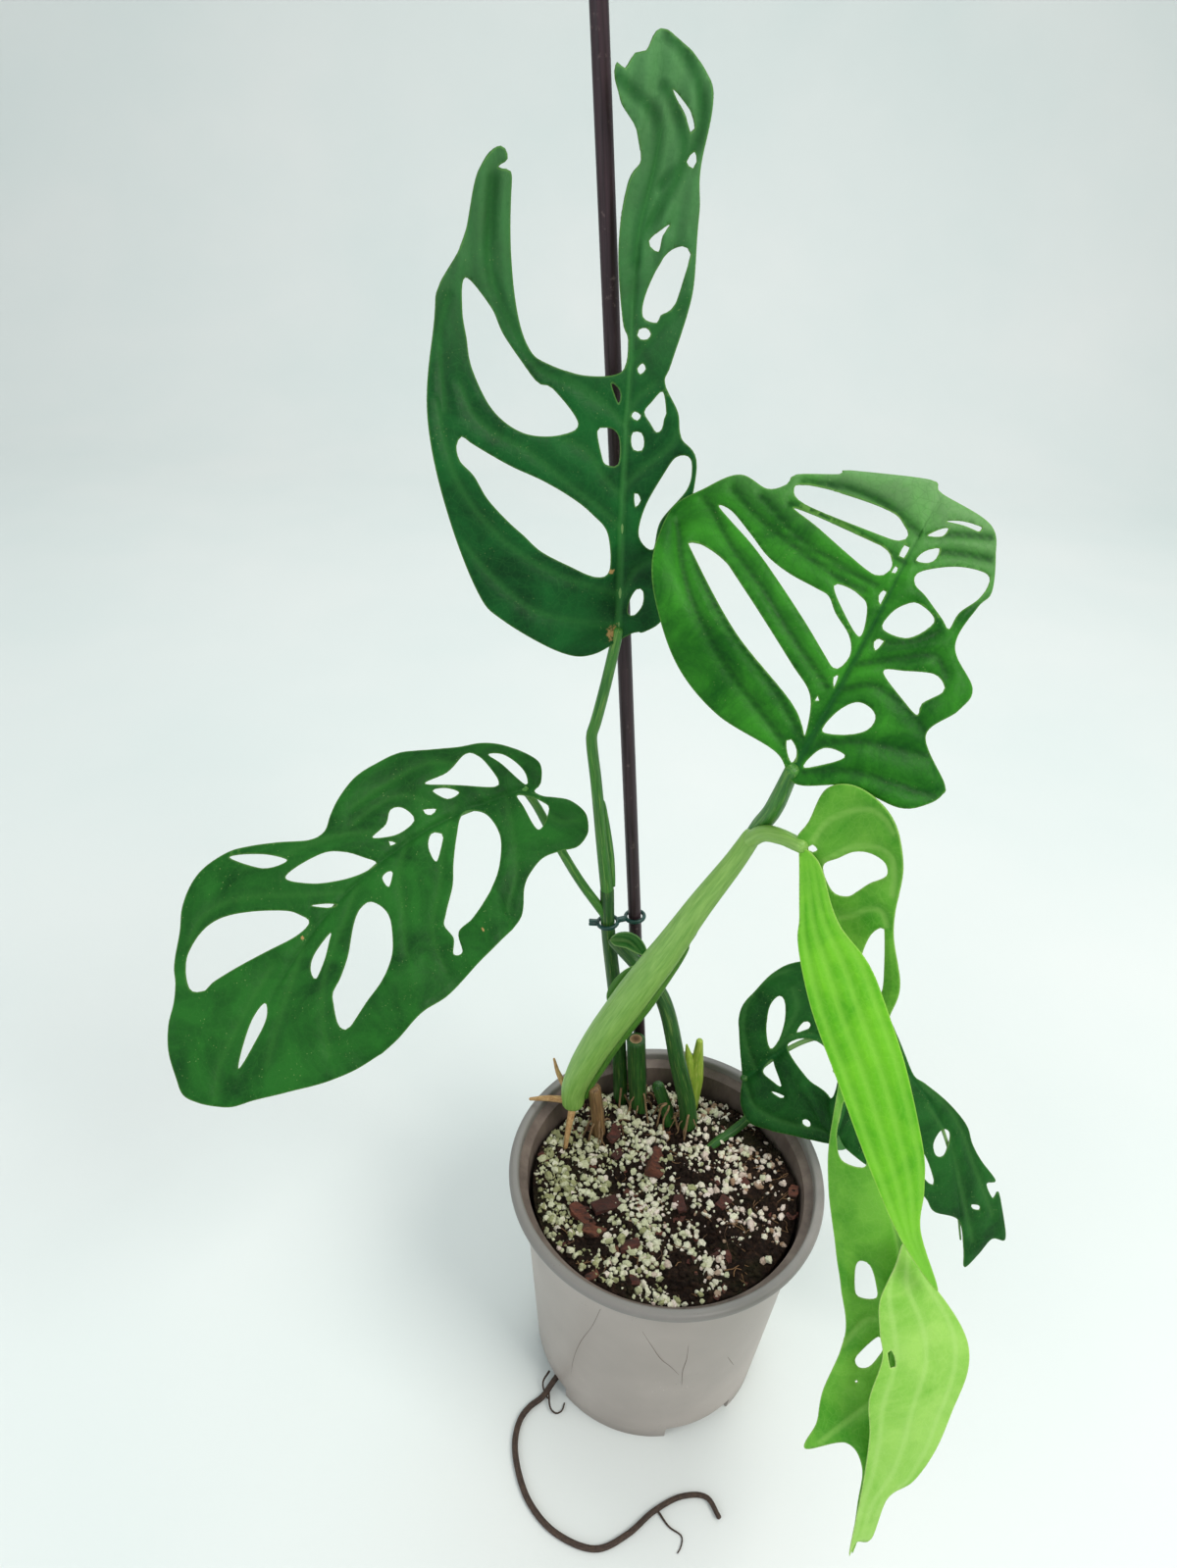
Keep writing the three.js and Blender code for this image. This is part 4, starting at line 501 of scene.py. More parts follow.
class Finish:
    """A material of nodes that ends in one principled shader."""

    def __init__(self, name, **sockets):
        self.material = bpy.data.materials.new(name)
        self.material.use_nodes = True
        self.tree = self.material.node_tree
        self.shader = self.tree.nodes["Principled BSDF"]
        self.place = self.add("ShaderNodeTexCoord").outputs["Object"]
        self.wire(self.shader, sockets)

    def wire(self, node, sockets):
        """Links or sets inputs of a node. Colours are given as a screen shows them, from 0 to 255."""
        for key, value in sockets.items():
            socket = node.inputs[key]
            if isinstance(value, bpy.types.NodeSocket):
                self.tree.links.new(value, socket)
            elif socket.type == "RGBA":
                socket.default_value = linear_colour(value)
            else:
                socket.default_value = value

    def add(self, kind, sockets=None, **settings):
        node = self.tree.nodes.new(kind)
        for key, value in settings.items():
            setattr(node, key, value)
        self.wire(node, sockets or {})
        return node

    def shade(self, **sockets):
        self.wire(self.shader, {key.replace("_", " "): value for key, value in sockets.items()})

    def layer(self, name):
        """A number that the mesh carries."""
        return self.add("ShaderNodeAttribute", attribute_name=name).outputs["Fac"]

    def course(self, name, stretch=(1, 1, 1)):
        """A place that the mesh carries, stretched."""
        vector = self.add("ShaderNodeAttribute", attribute_name=name).outputs["Vector"]
        return self.stretched(vector, stretch)

    def stretched(self, vector, scale):
        sockets = {"Vector": vector, "Scale": scale}
        return self.add("ShaderNodeMapping", sockets).outputs["Vector"]

    def clouds(self, scale, place=None, detail=3, rough=0.55, twist=0):
        sockets = {"Vector": place or self.place, "Scale": scale, "Detail": detail}
        sockets.update({"Roughness": rough, "Distortion": twist})
        return self.add("ShaderNodeTexNoise", sockets).outputs["Fac"]

    def cells(self, scale, place=None, feature="F1"):
        sockets = {"Vector": place or self.place, "Scale": scale}
        return self.add("ShaderNodeTexVoronoi", sockets, feature=feature).outputs["Distance"]

    def span(self, value, low, high, to_low=0.0, to_high=1.0):
        """A value carried from one range to another."""
        sockets = {"Value": value, "From Min": low, "From Max": high, "To Min": to_low, "To Max": to_high}
        return self.add("ShaderNodeMapRange", sockets).outputs["Result"]

    def maths(self, operation, first, second):
        return self.add("ShaderNodeMath", {0: first, 1: second}, operation=operation).outputs[0]

    def part_of(self, vector, axis):
        return self.add("ShaderNodeSeparateXYZ", {"Vector": vector}).outputs[axis]

    def ramp(self, value, *stops):
        node = self.add("ShaderNodeValToRGB", {"Fac": value})
        elements = node.color_ramp.elements
        while len(elements) < len(stops):
            elements.new(0.5)
        for element, (position, colour) in zip(elements, stops):
            element.position = position
            element.color = linear_colour(colour)
        return node.outputs["Color"]

    def over(self, share, below, above):
        """One colour laid over another by a share from 0 to 1."""
        sockets = {0: share, 6: below, 7: above}
        return self.add("ShaderNodeMix", sockets, data_type="RGBA", blend_type="MIX").outputs[2]

    def relief(self, height, depth_mm, under=None):
        sockets = {"Height": height, "Distance": depth_mm * MM, "Strength": 1.0}
        if under:
            sockets["Normal"] = under
        return self.add("ShaderNodeBump", sockets).outputs["Normal"]


def linear_colour(colour):
    """A colour as a screen shows it, from 0 to 255, made linear."""
    linear = []
    for value in colour:
        share = value / 255
        linear.append(share / 12.92 if share <= 0.04045 else ((share + 0.055) / 1.055) ** 2.4)
    return (*linear, 1)


def taupe_plastic():
    f = Finish("Taupe pot plastic", Roughness=0.42)
    cloud = f.clouds(18, detail=4)
    skin = f.ramp(cloud, (0.3, (152, 143, 136)), (0.7, (172, 163, 156)))
    height = f.part_of(f.place, "Z")
    lip_foot = POT_HEIGHT - LIP_HEIGHT
    skin = f.over(f.span(height, (lip_foot - 0.8) * MM, (lip_foot + 0.4) * MM), skin, (122, 119, 115))
    skin = f.over(f.span(height, 14 * MM, 2 * MM, 0, 0.3), skin, (120, 108, 100))
    specks = f.span(f.cells(900), 0.16, 0.1)
    rare = f.span(f.clouds(60), 0.58, 0.64)
    skin = f.over(f.maths("MULTIPLY", specks, rare), skin, (96, 84, 76))
    splashes = f.span(f.cells(420), 0.13, 0.08)
    seldom = f.span(f.clouds(34), 0.6, 0.66)
    skin = f.over(f.maths("MULTIPLY", splashes, seldom), skin, (206, 202, 196))
    dust = f.span(f.clouds(9, detail=6, rough=0.7), 0.5, 0.75, 0, 0.35)
    skin = f.over(dust, skin, (182, 174, 166))
    f.shade(Base_Color=skin, Roughness=f.span(cloud, 0.2, 0.8, 0.36, 0.5))
    grain = f.relief(f.clouds(2600, detail=2), 0.03)
    f.shade(Normal=f.relief(f.clouds(28), 0.25, grain))
    return f.material


def pot_inside():
    """The inner wall, darker and browner than the outside, in blotches."""
    f = Finish("Pot inside", Roughness=0.55)
    blotches = f.clouds(70, f.stretched(f.place, (1, 1, 0.35)), detail=6, rough=0.7)
    skin = f.ramp(blotches, (0.3, (78, 66, 60)), (0.55, (112, 98, 90)), (0.75, (128, 116, 106)))
    f.shade(Base_Color=skin, Normal=f.relief(blotches, 0.15))
    return f.material


def potting_soil():
    f = Finish("Potting soil", Roughness=0.95)
    crumbs = f.clouds(420, detail=8, rough=0.75)
    skin = f.ramp(crumbs, (0.3, (12, 8, 6)), (0.52, (36, 25, 19)), (0.7, (70, 50, 38)))
    moss = f.span(f.clouds(60, detail=3), 0.55, 0.72, 0, 0.3)
    skin = f.over(moss, skin, (58, 62, 34))
    f.shade(Base_Color=skin, Specular_IOR_Level=0.15)
    coarse = f.relief(f.cells(520), 1.2)
    f.shade(Normal=f.relief(crumbs, 1.0, coarse))
    return f.material


def perlite_white():
    f = Finish("Perlite", Roughness=0.9)
    skin = f.ramp(
        f.layer("tint"),
        (0.0, (150, 152, 108)), (0.22, (196, 198, 164)), (0.5, (216, 214, 190)),
        (0.78, (222, 208, 198)), (1.0, (150, 122, 98)),
    )
    pits = f.cells(1500)
    skin = f.over(f.span(pits, 0.35, 0.1, 0, 0.45), skin, (110, 100, 80))
    f.shade(Base_Color=skin, Normal=f.relief(pits, 0.25))
    return f.material


def bark_brown():
    f = Finish("Bark", Roughness=0.8)
    grain = f.clouds(160, f.stretched(f.place, (1, 3.5, 3.5)), detail=6, rough=0.7)
    deep = f.ramp(f.layer("tint"), (0.0, (70, 30, 22)), (0.6, (104, 48, 34)), (1.0, (128, 78, 50)))
    skin = f.over(f.span(grain, 0.35, 0.65), (44, 24, 18), deep)
    f.shade(Base_Color=skin, Normal=f.relief(grain, 0.7))
    return f.material


def fibre_tan():
    f = Finish("Coir fibre", Roughness=0.75)
    skin = f.ramp(f.clouds(90), (0.35, (66, 44, 28)), (0.65, (132, 98, 62)))
    f.shade(Base_Color=skin, Normal=f.relief(f.clouds(3000), 0.06))
    return f.material


def cane_plastic():
    f = Finish("Dark cane", Roughness=0.34)
    grain = f.clouds(1, f.course("skin", (900 * MM, 900 * MM, 40 * MM)), detail=4)
    skin = f.ramp(grain, (0.3, (34, 23, 27)), (0.7, (62, 45, 51)))
    f.shade(Specular_IOR_Level=0.3)
    scuffs = f.span(f.clouds(240, detail=5, rough=0.7), 0.62, 0.72, 0, 0.5)
    skin = f.over(scuffs, skin, (120, 102, 100))
    f.shade(Base_Color=skin, Roughness=f.span(grain, 0.3, 0.7, 0.28, 0.42))
    f.shade(Normal=f.relief(grain, 0.12))
    return f.material


def clip_green():
    f = Finish("Clip plastic", Roughness=0.38)
    skin = f.ramp(f.clouds(300), (0.3, (8, 52, 46)), (0.7, (18, 76, 66)))
    f.shade(Base_Color=skin, Normal=f.relief(f.clouds(1800), 0.04))
    return f.material


def stem_skin(name, dark, light, streak, streaks=0.5):
    """The skin of a stem or petiole: lengthwise streaks, pores and a few corky marks."""
    f = Finish(name, Roughness=0.45)
    f.shade(Coat_Weight=0.06, Coat_Roughness=0.35, Specular_IOR_Level=0.35)
    grain = f.clouds(1.1, f.course("skin", (1, 1, 0.07)), detail=4, rough=0.6)
    skin = f.ramp(grain, (0.3, dark), (0.7, light))
    lines = f.clouds(2.4, f.course("skin", (1, 1, 0.03)), detail=2)
    skin = f.over(f.span(lines, 0.55, 0.68, 0, streaks), skin, streak)
    pores = f.span(f.cells(1.6, f.course("skin", (1, 1, 0.6))), 0.2, 0.12, 0, 0.5)
    patch = f.span(f.clouds(0.5, f.course("skin")), 0.52, 0.6)
    skin = f.over(f.maths("MULTIPLY", pores, patch), skin, (150, 140, 96))
    f.shade(Base_Color=skin)
    f.shade(Normal=f.relief(grain, 0.12, f.relief(lines, 0.08)))
    return f.material


def cut_wood():
    """The dry tan face of a cut stem, with its rings."""
    f = Finish("Cut face", Roughness=0.85)
    flat = f.course("skin", (1, 1, 0))
    radius = f.add("ShaderNodeVectorMath", {0: flat}, operation="LENGTH").outputs["Value"]
    wobble = f.maths("ADD", radius, f.clouds(0.8, flat, detail=3))
    skin = f.ramp(
        f.span(wobble, 0.6, 4.4),
        (0.0, (92, 66, 42)), (0.35, (128, 98, 64)), (0.75, (186, 156, 116)),
        (0.95, (120, 92, 60)),
    )
    f.shade(Base_Color=skin, Normal=f.relief(f.clouds(2.5, flat, detail=4), 0.3))
    return f.material


def root_skin(name, dark, light):
    f = Finish(name, Roughness=0.8)
    grain = f.clouds(1.4, f.course("skin", (1, 1, 0.35)), detail=5, rough=0.7)
    rings = f.clouds(1.6, f.course("skin", (0.3, 0.3, 1)), detail=2)
    skin = f.ramp(grain, (0.3, dark), (0.7, light))
    skin = f.over(f.span(rings, 0.55, 0.7, 0, 0.4), skin, dark)
    f.shade(Base_Color=skin)
    f.shade(Normal=f.relief(grain, 0.5, f.relief(rings, 0.3)))
    return f.material


def leaf_face(
    name, deep, fresh, vein, rib, edge, vein_share=0.3, rib_share=0.5, specks=0.3, painted_sheen=None,
    painted_sheen_from=None, scars=()
):
    """The upper side of a blade. The mesh carries how far each point is from a vein and the edge."""
    f = Finish(name)
    f.shade(Specular_IOR_Level=LEAF_SHINE)
    blade, away = f.course("blade"), f.layer("vein")
    patch = f.clouds(0.045, blade, detail=5, rough=0.6, twist=0.8)
    skin = f.ramp(patch, (0.36, deep), (0.64, fresh))
    # Painted sheen: a pale wash over the far part of the blade, strongest on the bulges between veins,
    # stands for glossy reflection.
    if painted_sheen:
        along = f.part_of(blade, "X")
        painted_sheen_along = f.span(along, *painted_sheen_from, 0, 0.75)
        painted_sheen_bulges = f.span(away, 0.4, 2.4, 0.35, 1)
        skin = f.over(f.maths("MULTIPLY", painted_sheen_along, painted_sheen_bulges), skin, painted_sheen)
    # A band along each vein in a mix of the blade and vein colours; where the vein colour is dark it is
    # painted shade on the sides of the sunken veins.
    skin = f.over(f.span(away, 2.6, 0.4, 0, 0.3), skin, f.over(0.5, deep, vein))
    skin = f.over(f.span(away, 1.3, 0.35, 0, vein_share), skin, vein)
    skin = f.over(f.span(f.layer("rib"), 1.6, 0.5, 0, rib_share), skin, rib)
    net = f.cells(0.42, blade, feature="DISTANCE_TO_EDGE")
    skin = f.over(f.span(net, 0.06, 0.0, 0, 0.14), skin, vein)
    mottle = f.clouds(0.5, blade, detail=4, rough=0.7)
    skin = f.over(f.span(mottle, 0.5, 0.72, 0, 0.22), skin, fresh)
    dots = f.span(f.cells(0.8, blade), 0.16, 0.07, 0, specks)
    dotted = f.span(f.clouds(0.09, blade, detail=2), 0.5, 0.62)
    skin = f.over(f.maths("MULTIPLY", dots, dotted), skin, (150, 176, 108))
    skin = f.over(f.span(f.layer("margin"), 0.5, 0.1, 0, 0.5), skin, edge)
    for (u, v), size in scars:
        centre = f.add("ShaderNodeVectorMath", {0: blade, 1: (u, v, 0)}, operation="DISTANCE")
        ragged = f.maths("MULTIPLY", f.clouds(0.5, blade, detail=5, rough=0.7), 2.2 * size)
        reach = f.maths("ADD", centre.outputs["Value"], ragged)
        skin = f.over(f.span(reach, 1.55 * size, 1.3 * size, 0, 0.85), skin, SCAR)
    f.shade(Base_Color=skin, Roughness=f.span(mottle, 0.3, 0.7, 0.44, 0.6))
    pucker = f.relief(f.clouds(0.14, blade, detail=2, twist=0.3), 0.35)
    f.shade(Normal=f.relief(f.span(net, 0.0, 0.12), 0.025, pucker))
    return f.material


def leaf_back(name, deep, fresh, vein):
    """The matt underside of a blade."""
    f = Finish(name, Roughness=0.55)
    f.shade(Specular_IOR_Level=LEAF_SHINE)
    patch = f.clouds(0.05, f.course("blade"), detail=3)
    skin = f.ramp(patch, (0.36, deep), (0.64, fresh))
    skin = f.over(f.span(f.layer("vein"), 1.1, 0.4, 0, 0.7), skin, vein)
    net = f.cells(0.42, f.course("blade"), feature="DISTANCE_TO_EDGE")
    skin = f.over(f.span(net, 0.07, 0.0, 0, 0.3), skin, vein)
    f.shade(Base_Color=skin, Normal=f.relief(net, 0.03))
    return f.material


# Meshes.


def outwards(bm):
    bmesh.ops.recalc_face_normals(bm, faces=bm.faces)


def linked(name, data):
    thing = bpy.data.objects.new(name, data)
    bpy.context.scene.collection.objects.link(thing)
    return thing


def solid(name, bm, materials, smooth=True):
    """Makes an object out of a bmesh in metres."""
    mesh = bpy.data.meshes.new(name)
    for face in bm.faces:
        face.smooth = smooth
    bm.to_mesh(mesh)
    bm.free()
    for material in materials:
        mesh.materials.append(material)
    return linked(name, mesh)


def finished(name, bm, materials, nodes=(), smooth=True):
    """Makes a piece of the plant or its pot, in place of the plain nodes that it stands for."""
    piece = solid(name, bm, materials, smooth)
    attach(piece, "root")
    if nodes:
        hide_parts(*nodes)
    return piece


def shelled(piece, thick, offset):
    """Gives a sheet its thickness."""
    shell = piece.modifiers.new("Thickness", "SOLIDIFY")
    shell.thickness = thick * MM
    shell.offset = offset
    return shell


def drawn_out(bm, edges):
    """Draws edges out into a new row, and gives the row's verts and edges."""
    made = bmesh.ops.extrude_edge_only(bm, edges=edges)["geom"]
    verts = [part for part in made if isinstance(part, bmesh.types.BMVert)]
    return verts, [part for part in made if isinstance(part, bmesh.types.BMEdge)]


def edges_of(verts):
    return list({edge for vert in verts for edge in vert.link_edges})


def open_edges(bm, beyond=0.0):
    """Edges with one face only, further from the axis than so many millimetres."""
    found = [edge for edge in bm.edges if len(edge.link_faces) == 1]
    return [edge for edge in found if edge.verts[0].co.xy.length > beyond * MM]


def turned(bm, geom, steps):
    """Turns a section once round the upright axis."""
    bmesh.ops.spin(
        bm, geom=geom, axis=(0, 0, 1), cent=(0, 0, 0), angle=2 * math.pi, steps=steps, use_merge=True
    )


def lathed(section, steps):
    """A closed body turned from a section of (radius, height) in millimetres."""
    bm = bmesh.new()
    verts = [bm.verts.new((radius * MM, 0, height * MM)) for radius, height in section]
    edges = [bm.edges.new(pair) for pair in zip(verts, verts[1:])]
    turned(bm, verts + edges, steps)
    bmesh.ops.remove_doubles(bm, verts=bm.verts, dist=SEAM)
    bmesh.ops.holes_fill(bm, edges=open_edges(bm))
    return bm


def through(keys, places):
    """Smooth values at places along a list of keys, as an array."""
    padded = np.vstack([2 * keys[0] - keys[1], keys, 2 * keys[-1] - keys[-2]])
    first = np.clip(np.floor(places).astype(int), 0, len(keys) - 2)
    share = (places - first)[:, None]
    a, b, c, d = (padded[first + k] for k in range(4))
    bend = 2 * a - 5 * b + 4 * c - d
    return b + 0.5 * share * (c - a + share * (bend + share * (3 * b - a - 3 * c + d)))


def closed_course(points, step):
    """A closed smooth loop through a few points, as an array of points about a step apart."""
    loop = np.array(points, float)
    sampled = []
    for i in range(len(loop)):
        a, b, c, d = (loop[(i + k) % len(loop)] for k in (-1, 0, 1, 2))
        count = max(1, round(float(np.linalg.norm(c - b)) / step))
        for k in range(count):
            t = k / count
            bend = 2 * a - 5 * b + 4 * c - d
            sampled.append(b + 0.5 * t * (c - a + t * (bend + t * (3 * b - a - 3 * c + d))))
    return np.array(sampled)


def open_course(points, step):
    keys = np.array(points, float)
    lengths = np.linalg.norm(np.diff(keys, axis=0), axis=1)
    count = max(2, round(float(lengths.sum()) / step))
    return through(keys, np.linspace(0, len(keys) - 1, count + 1))


def stem_course(points, step):
    """The curve of a stem, as points about a step apart along its length."""
    keys = [Vector(p) for p in points]
    keys = [2 * keys[0] - keys[1], *keys, 2 * keys[-1] - keys[-2]]
    fine = []
    for a, b, c, d in zip(keys, keys[1:], keys[2:], keys[3:]):
        before, here, after = ((q - p).length ** 0.5 for p, q in ((a, b), (b, c), (c, d)))
        leaving = (b - a) / before - (c - a) / (before + here) + (c - b) / here
        reaching = (c - b) / here - (d - b) / (here + after) + (d - c) / after
        leaving, reaching = leaving * here, reaching * here
        for k in range(24):
            t = k / 24
            fine.append(
                b + t * leaving + t * t * (3 * (c - b) - 2 * leaving - reaching)
                + t**3 * (2 * (b - c) + leaving + reaching)
            )
    fine.append(keys[-2])
    lengths = np.cumsum([0] + [(q - p).length for p, q in zip(fine, fine[1:])])
    count = max(2, round(lengths[-1] / step))
    spots = np.linspace(0, lengths[-1], count + 1)
    rows = np.array(fine)
    return np.stack([np.interp(spots, lengths, rows[:, k]) for k in range(3)], 1), spots


def radii_at(line, spots):
    """The radii of a stem at lengths along it."""
    shares = np.linspace(0, 1, len(line["radii"]))
    return np.interp(spots / spots[-1], shares, line["radii"])


def axes_across(direction):
    """The two axes across a stem: to its side and to its front."""
    across = direction.cross(Vector(STEM_FRONT)).normalized()
    return across, across.cross(direction)


def tube(bm, line, sides=16, step=2.0, tip=1.0):
    """Adds a stem to a bmesh: a circle drawn out ring by ring, then bent along its course."""
    centres, spots = stem_course(line["points"], step)
    radii = radii_at(line, spots)
    along = np.gradient(centres, axis=0)
    along /= np.linalg.norm(along, axis=1)[:, None]
    sections = [(0, -depth * tip, share) for depth, share in reversed(ROUNDED_END)]
    sections += [(i, 0, 1) for i in range(len(centres))]
    sections += [(len(centres) - 1, depth * tip, share) for depth, share in ROUNDED_END]
    skin = bm.verts.layers.float_vector.get("skin") or bm.verts.layers.float_vector.new("skin")
    ring = bmesh.ops.create_circle(bm, segments=sides, radius=1)["verts"]
    edges = edges_of(ring)
    ends = [list(edges)]
    verts = [(0, vert) for vert in ring]
    for index in range(1, len(sections)):
        ring, edges = drawn_out(bm, edges)
        verts += [(index, vert) for vert in ring]
    ends.append(edges)
    for end in ends:
        bmesh.ops.contextual_create(bm, geom=end)
    for index, vert in verts:
        i, past, share = sections[index]
        direction = Vector(along[i])
        across, front = axes_across(direction)
        angle = math.atan2(vert.co.y, vert.co.x)
        a = radii[i] * share * math.cos(angle)
        b = radii[i] * share * math.sin(angle)
        place = Vector(centres[i]) + direction * past * radii[i] + across * a + front * b
        vert[skin] = (a, b, spots[i] + past)
        vert.co = place * MM
    return [vert for _, vert in verts]


def stem(name, line, material, slot, node=None, cut=None, **way):
    """A stem or root of its own. A cut one shows another finish on its upper end."""
    bm = bmesh.new()
    verts = tube(bm, line, **way)
    outwards(bm)
    if cut:
        end = set(verts[-way.get("sides", 16):])
        for face in bm.faces:
            if all(vert in end for vert in face.verts):
                face.material_index = 1
    materials = [material, cut] if cut else [material]
    return finished(name, bm, materials, [node] if node else [])


# Blades.


def blade_surface(leaf):
    """The bent sheet of a blade: a place in millimetres for each (u, v) along and across its rib."""
    keys = np.array([sum(station, ()) for station in leaf["stations"]], float)
    places = np.linspace(0, len(keys) - 1, 16 * (len(keys) - 1) + 1)
    steps = np.linalg.norm(np.diff(through(keys, places)[:, :3], axis=0), axis=1)
    lengths = np.concatenate([[0], np.cumsum(steps)])
    height, wave_length, phase = leaf["wave"]

    def at(u, v):
        t = np.interp(u, lengths, places)
        row = through(keys, t)
        along = through(keys, t + 1e-3)[:, :3] - through(keys, t - 1e-3)[:, :3]
        along /= np.linalg.norm(along, axis=1)[:, None]
        faces = row[:, 3:6] - along * np.sum(row[:, 3:6] * along, axis=1)[:, None]
        faces /= np.linalg.norm(faces, axis=1)[:, None]
        across = np.cross(along, faces)
        right = v >= 0
        fold = np.radians(np.where(right, row[:, 7], row[:, 6]))
        curl = np.radians(np.where(right, row[:, 9], row[:, 8])) / 10
        curl = np.where(np.abs(curl) < 1e-6, 1e-6, curl)
        w = np.abs(v)
        out = (np.sin(fold + curl * w) - np.sin(fold)) / curl * np.where(right, 1, -1)
        turn = 2 * math.pi * u / wave_length + phase + np.where(right, 0, 2)
        up = (np.cos(fold) - np.cos(fold + curl * w)) / curl + height * (v / 50) ** 2 * np.sin(turn)
        past = np.minimum(u, 0) + np.maximum(u - lengths[-1], 0)
        return row[:, :3] + along * past[:, None] + across * out[:, None] + faces * up[:, None]

    def normal(u, v):
        step = 0.2
        side = np.where(v >= 0, step, -step)
        alongside = at(u + step, v) - at(u - step, v)
        outward = (at(u, v + side) - at(u, v)) * np.sign(side)[:, None]
        facing = -np.cross(alongside, outward)
        return facing / np.linalg.norm(facing, axis=1)[:, None]

    return at, normal, lengths[-1]


def distance_to(spots, courses, closed=False):
    """How far each spot is from the nearest of some courses, in millimetres."""
    nearest = np.full(len(spots), 1e3)
    for course in courses:
        ends = np.roll(course, -1, axis=0) if closed else course[1:]
        for a, b in zip(course, ends):
            span = b - a
            share = np.clip((spots - a) @ span / max(span @ span, 1e-9), 0, 1)
            nearest = np.minimum(nearest, np.linalg.norm(spots - a - share[:, None] * span, axis=1))
    return nearest


def strands_of(spots, outline, count):
    """How far each spot is from the nearest of some veins that run the length of a strap."""
    steps = np.arange(spots[:, 0].min(), spots[:, 0].max(), 2.0)
    lows, highs = [], []
    for step in steps:
        near = outline[np.abs(outline[:, 0] - step) < 3]
        lows.append(near[:, 1].min() if len(near) else 0)
        highs.append(near[:, 1].max() if len(near) else 0)
    smooth = np.ones(5) / 5
    low, high = (
        np.interp(spots[:, 0], steps, np.convolve(np.pad(margin, 2, mode="edge"), smooth, "valid"))
        for margin in (lows, highs)
    )
    width = np.maximum(high - low, 1)
    share = (spots[:, 1] - low) / width * count
    return np.abs(share - np.floor(share) - 0.5) * width / count


def blade(
    name, leaf, materials, slot, nodes=(), groove=0.4, bulge=0.55, rib=0.6, strands=0, ripple=None
):
    """A blade with its windows: outline, grid, bend, veins and thickness."""
    at, normal, length = blade_surface(leaf)
    courses = [closed_course(points, 1.2) for points in (leaf["outline"], *leaf["windows"])]
    bm = bmesh.new()
    for course in courses:
        ring = bmesh.ops.create_circle(bm, segments=len(course), radius=1)["verts"]
        for vert, (u, v) in zip(ring, course):
            vert.co = (u, v, 0)
    bmesh.ops.triangle_fill(bm, use_beauty=False, edges=bm.edges[:], normal=(0, 0, 1))
    for axis in (0, 1):
        low, high = courses[0][:, axis].min(), courses[0][:, axis].max()
        direction = Vector((1 - axis, axis, 0))
        for cut in np.arange(math.ceil(low / BLADE_STEP), high / BLADE_STEP) * BLADE_STEP:
            geometry = bm.verts[:] + bm.edges[:] + bm.faces[:]
            plane = direction * float(cut)
            bmesh.ops.bisect_plane(bm, geom=geometry, dist=1e-4, plane_co=plane, plane_no=direction)
    slanted = []
    for edge in bm.edges:
        run = edge.verts[0].co - edge.verts[1].co
        if len(edge.link_faces) == 2 and min(abs(run.x), abs(run.y)) > 1e-4:
            slanted.append(edge)
    bmesh.ops.dissolve_edges(bm, edges=slanted, use_verts=False)
    bmesh.ops.remove_doubles(bm, verts=bm.verts, dist=0.05)
    bmesh.ops.triangulate(bm, faces=[face for face in bm.faces if len(face.verts) > 4])
    outwards(bm)
    if sum(face.normal.z * face.calc_area() for face in bm.faces) > 0:
        bmesh.ops.reverse_faces(bm, faces=bm.faces)

    spots = np.array([vert.co.xy[:] for vert in bm.verts])
    u, v = spots[:, 0], spots[:, 1]
    to_edge = distance_to(spots, courses, closed=True)
    inside = np.clip(to_edge / EDGE_FADE, 0, 1)
    if strands:
        to_vein = strands_of(spots, courses[0], strands)
    else:
        to_vein = distance_to(spots, [open_course(points, 2) for points in leaf["veins"]])
    to_rib = np.full(len(spots), 50.0)
    if rib:
        line = np.array([(0, 0), (length * 0.97, 0)])
        to_rib = distance_to(spots, [line]) + 1.6 * np.clip(u / length, 0, 1) ** 2
    near = np.minimum(to_vein, to_rib)
    height = bulge * (1 - np.exp(-((near / BULGE_REACH) ** 2))) * inside
    height -= groove * np.exp(-((to_vein / VEIN_WIDTH) ** 2)) * inside
    height -= rib * np.exp(-((to_rib / RIB_WIDTH) ** 2)) * inside
    height += UNEVENNESS * np.sin(u / 4.1 + 1.7 * np.sin(v / 5.3)) * np.sin(v / 4.7 + u / 8) * inside
    if ripple:
        start, size, run = ripple
        swell = np.clip((u - start) / 25, 0, 1)
        height += size * swell * np.sin(2 * math.pi * v / run + u / 17 + 0.8 * np.sin(u / 9))
    places = at(u, v) + normal(u, v) * height[:, None]

    carried = {"vein": to_vein, "margin": to_edge, "rib": to_rib}
    layers = {key: bm.verts.layers.float.new(key) for key in carried}
    course = bm.verts.layers.float_vector.new("blade")
    for i, vert in enumerate(bm.verts):
        for key, values in carried.items():
            vert[layers[key]] = values[i]
        vert[course] = (u[i], v[i], 0)
        vert.co = places[i] * MM
    piece = finished(name, bm, materials, nodes)
    shell = shelled(piece, BLADE_THICK, -1)
    shell.material_offset = 1
    shell.material_offset_rim = 1
    return piece


def midrib(name, leaf, thick, share, material):
    """The raised rib under a blade."""
    at, normal, length = blade_surface(leaf)
    u = 1 + length * share * np.linspace(0, 1, 9)
    still = np.full(len(u), 0.01)
    points = at(u, still) - normal(u, still) * (0.9 * thick + 0.8)
    line = {"points": [tuple(p) for p in points], "radii": [thick, 0.8 * thick, 0.6 * thick, 0.4]}
    bm = bmesh.new()
    tube(bm, line, sides=10, step=2.5)
    outwards(bm)
    return finished(name, bm, [material])


# Pot, soil and what lies in it.


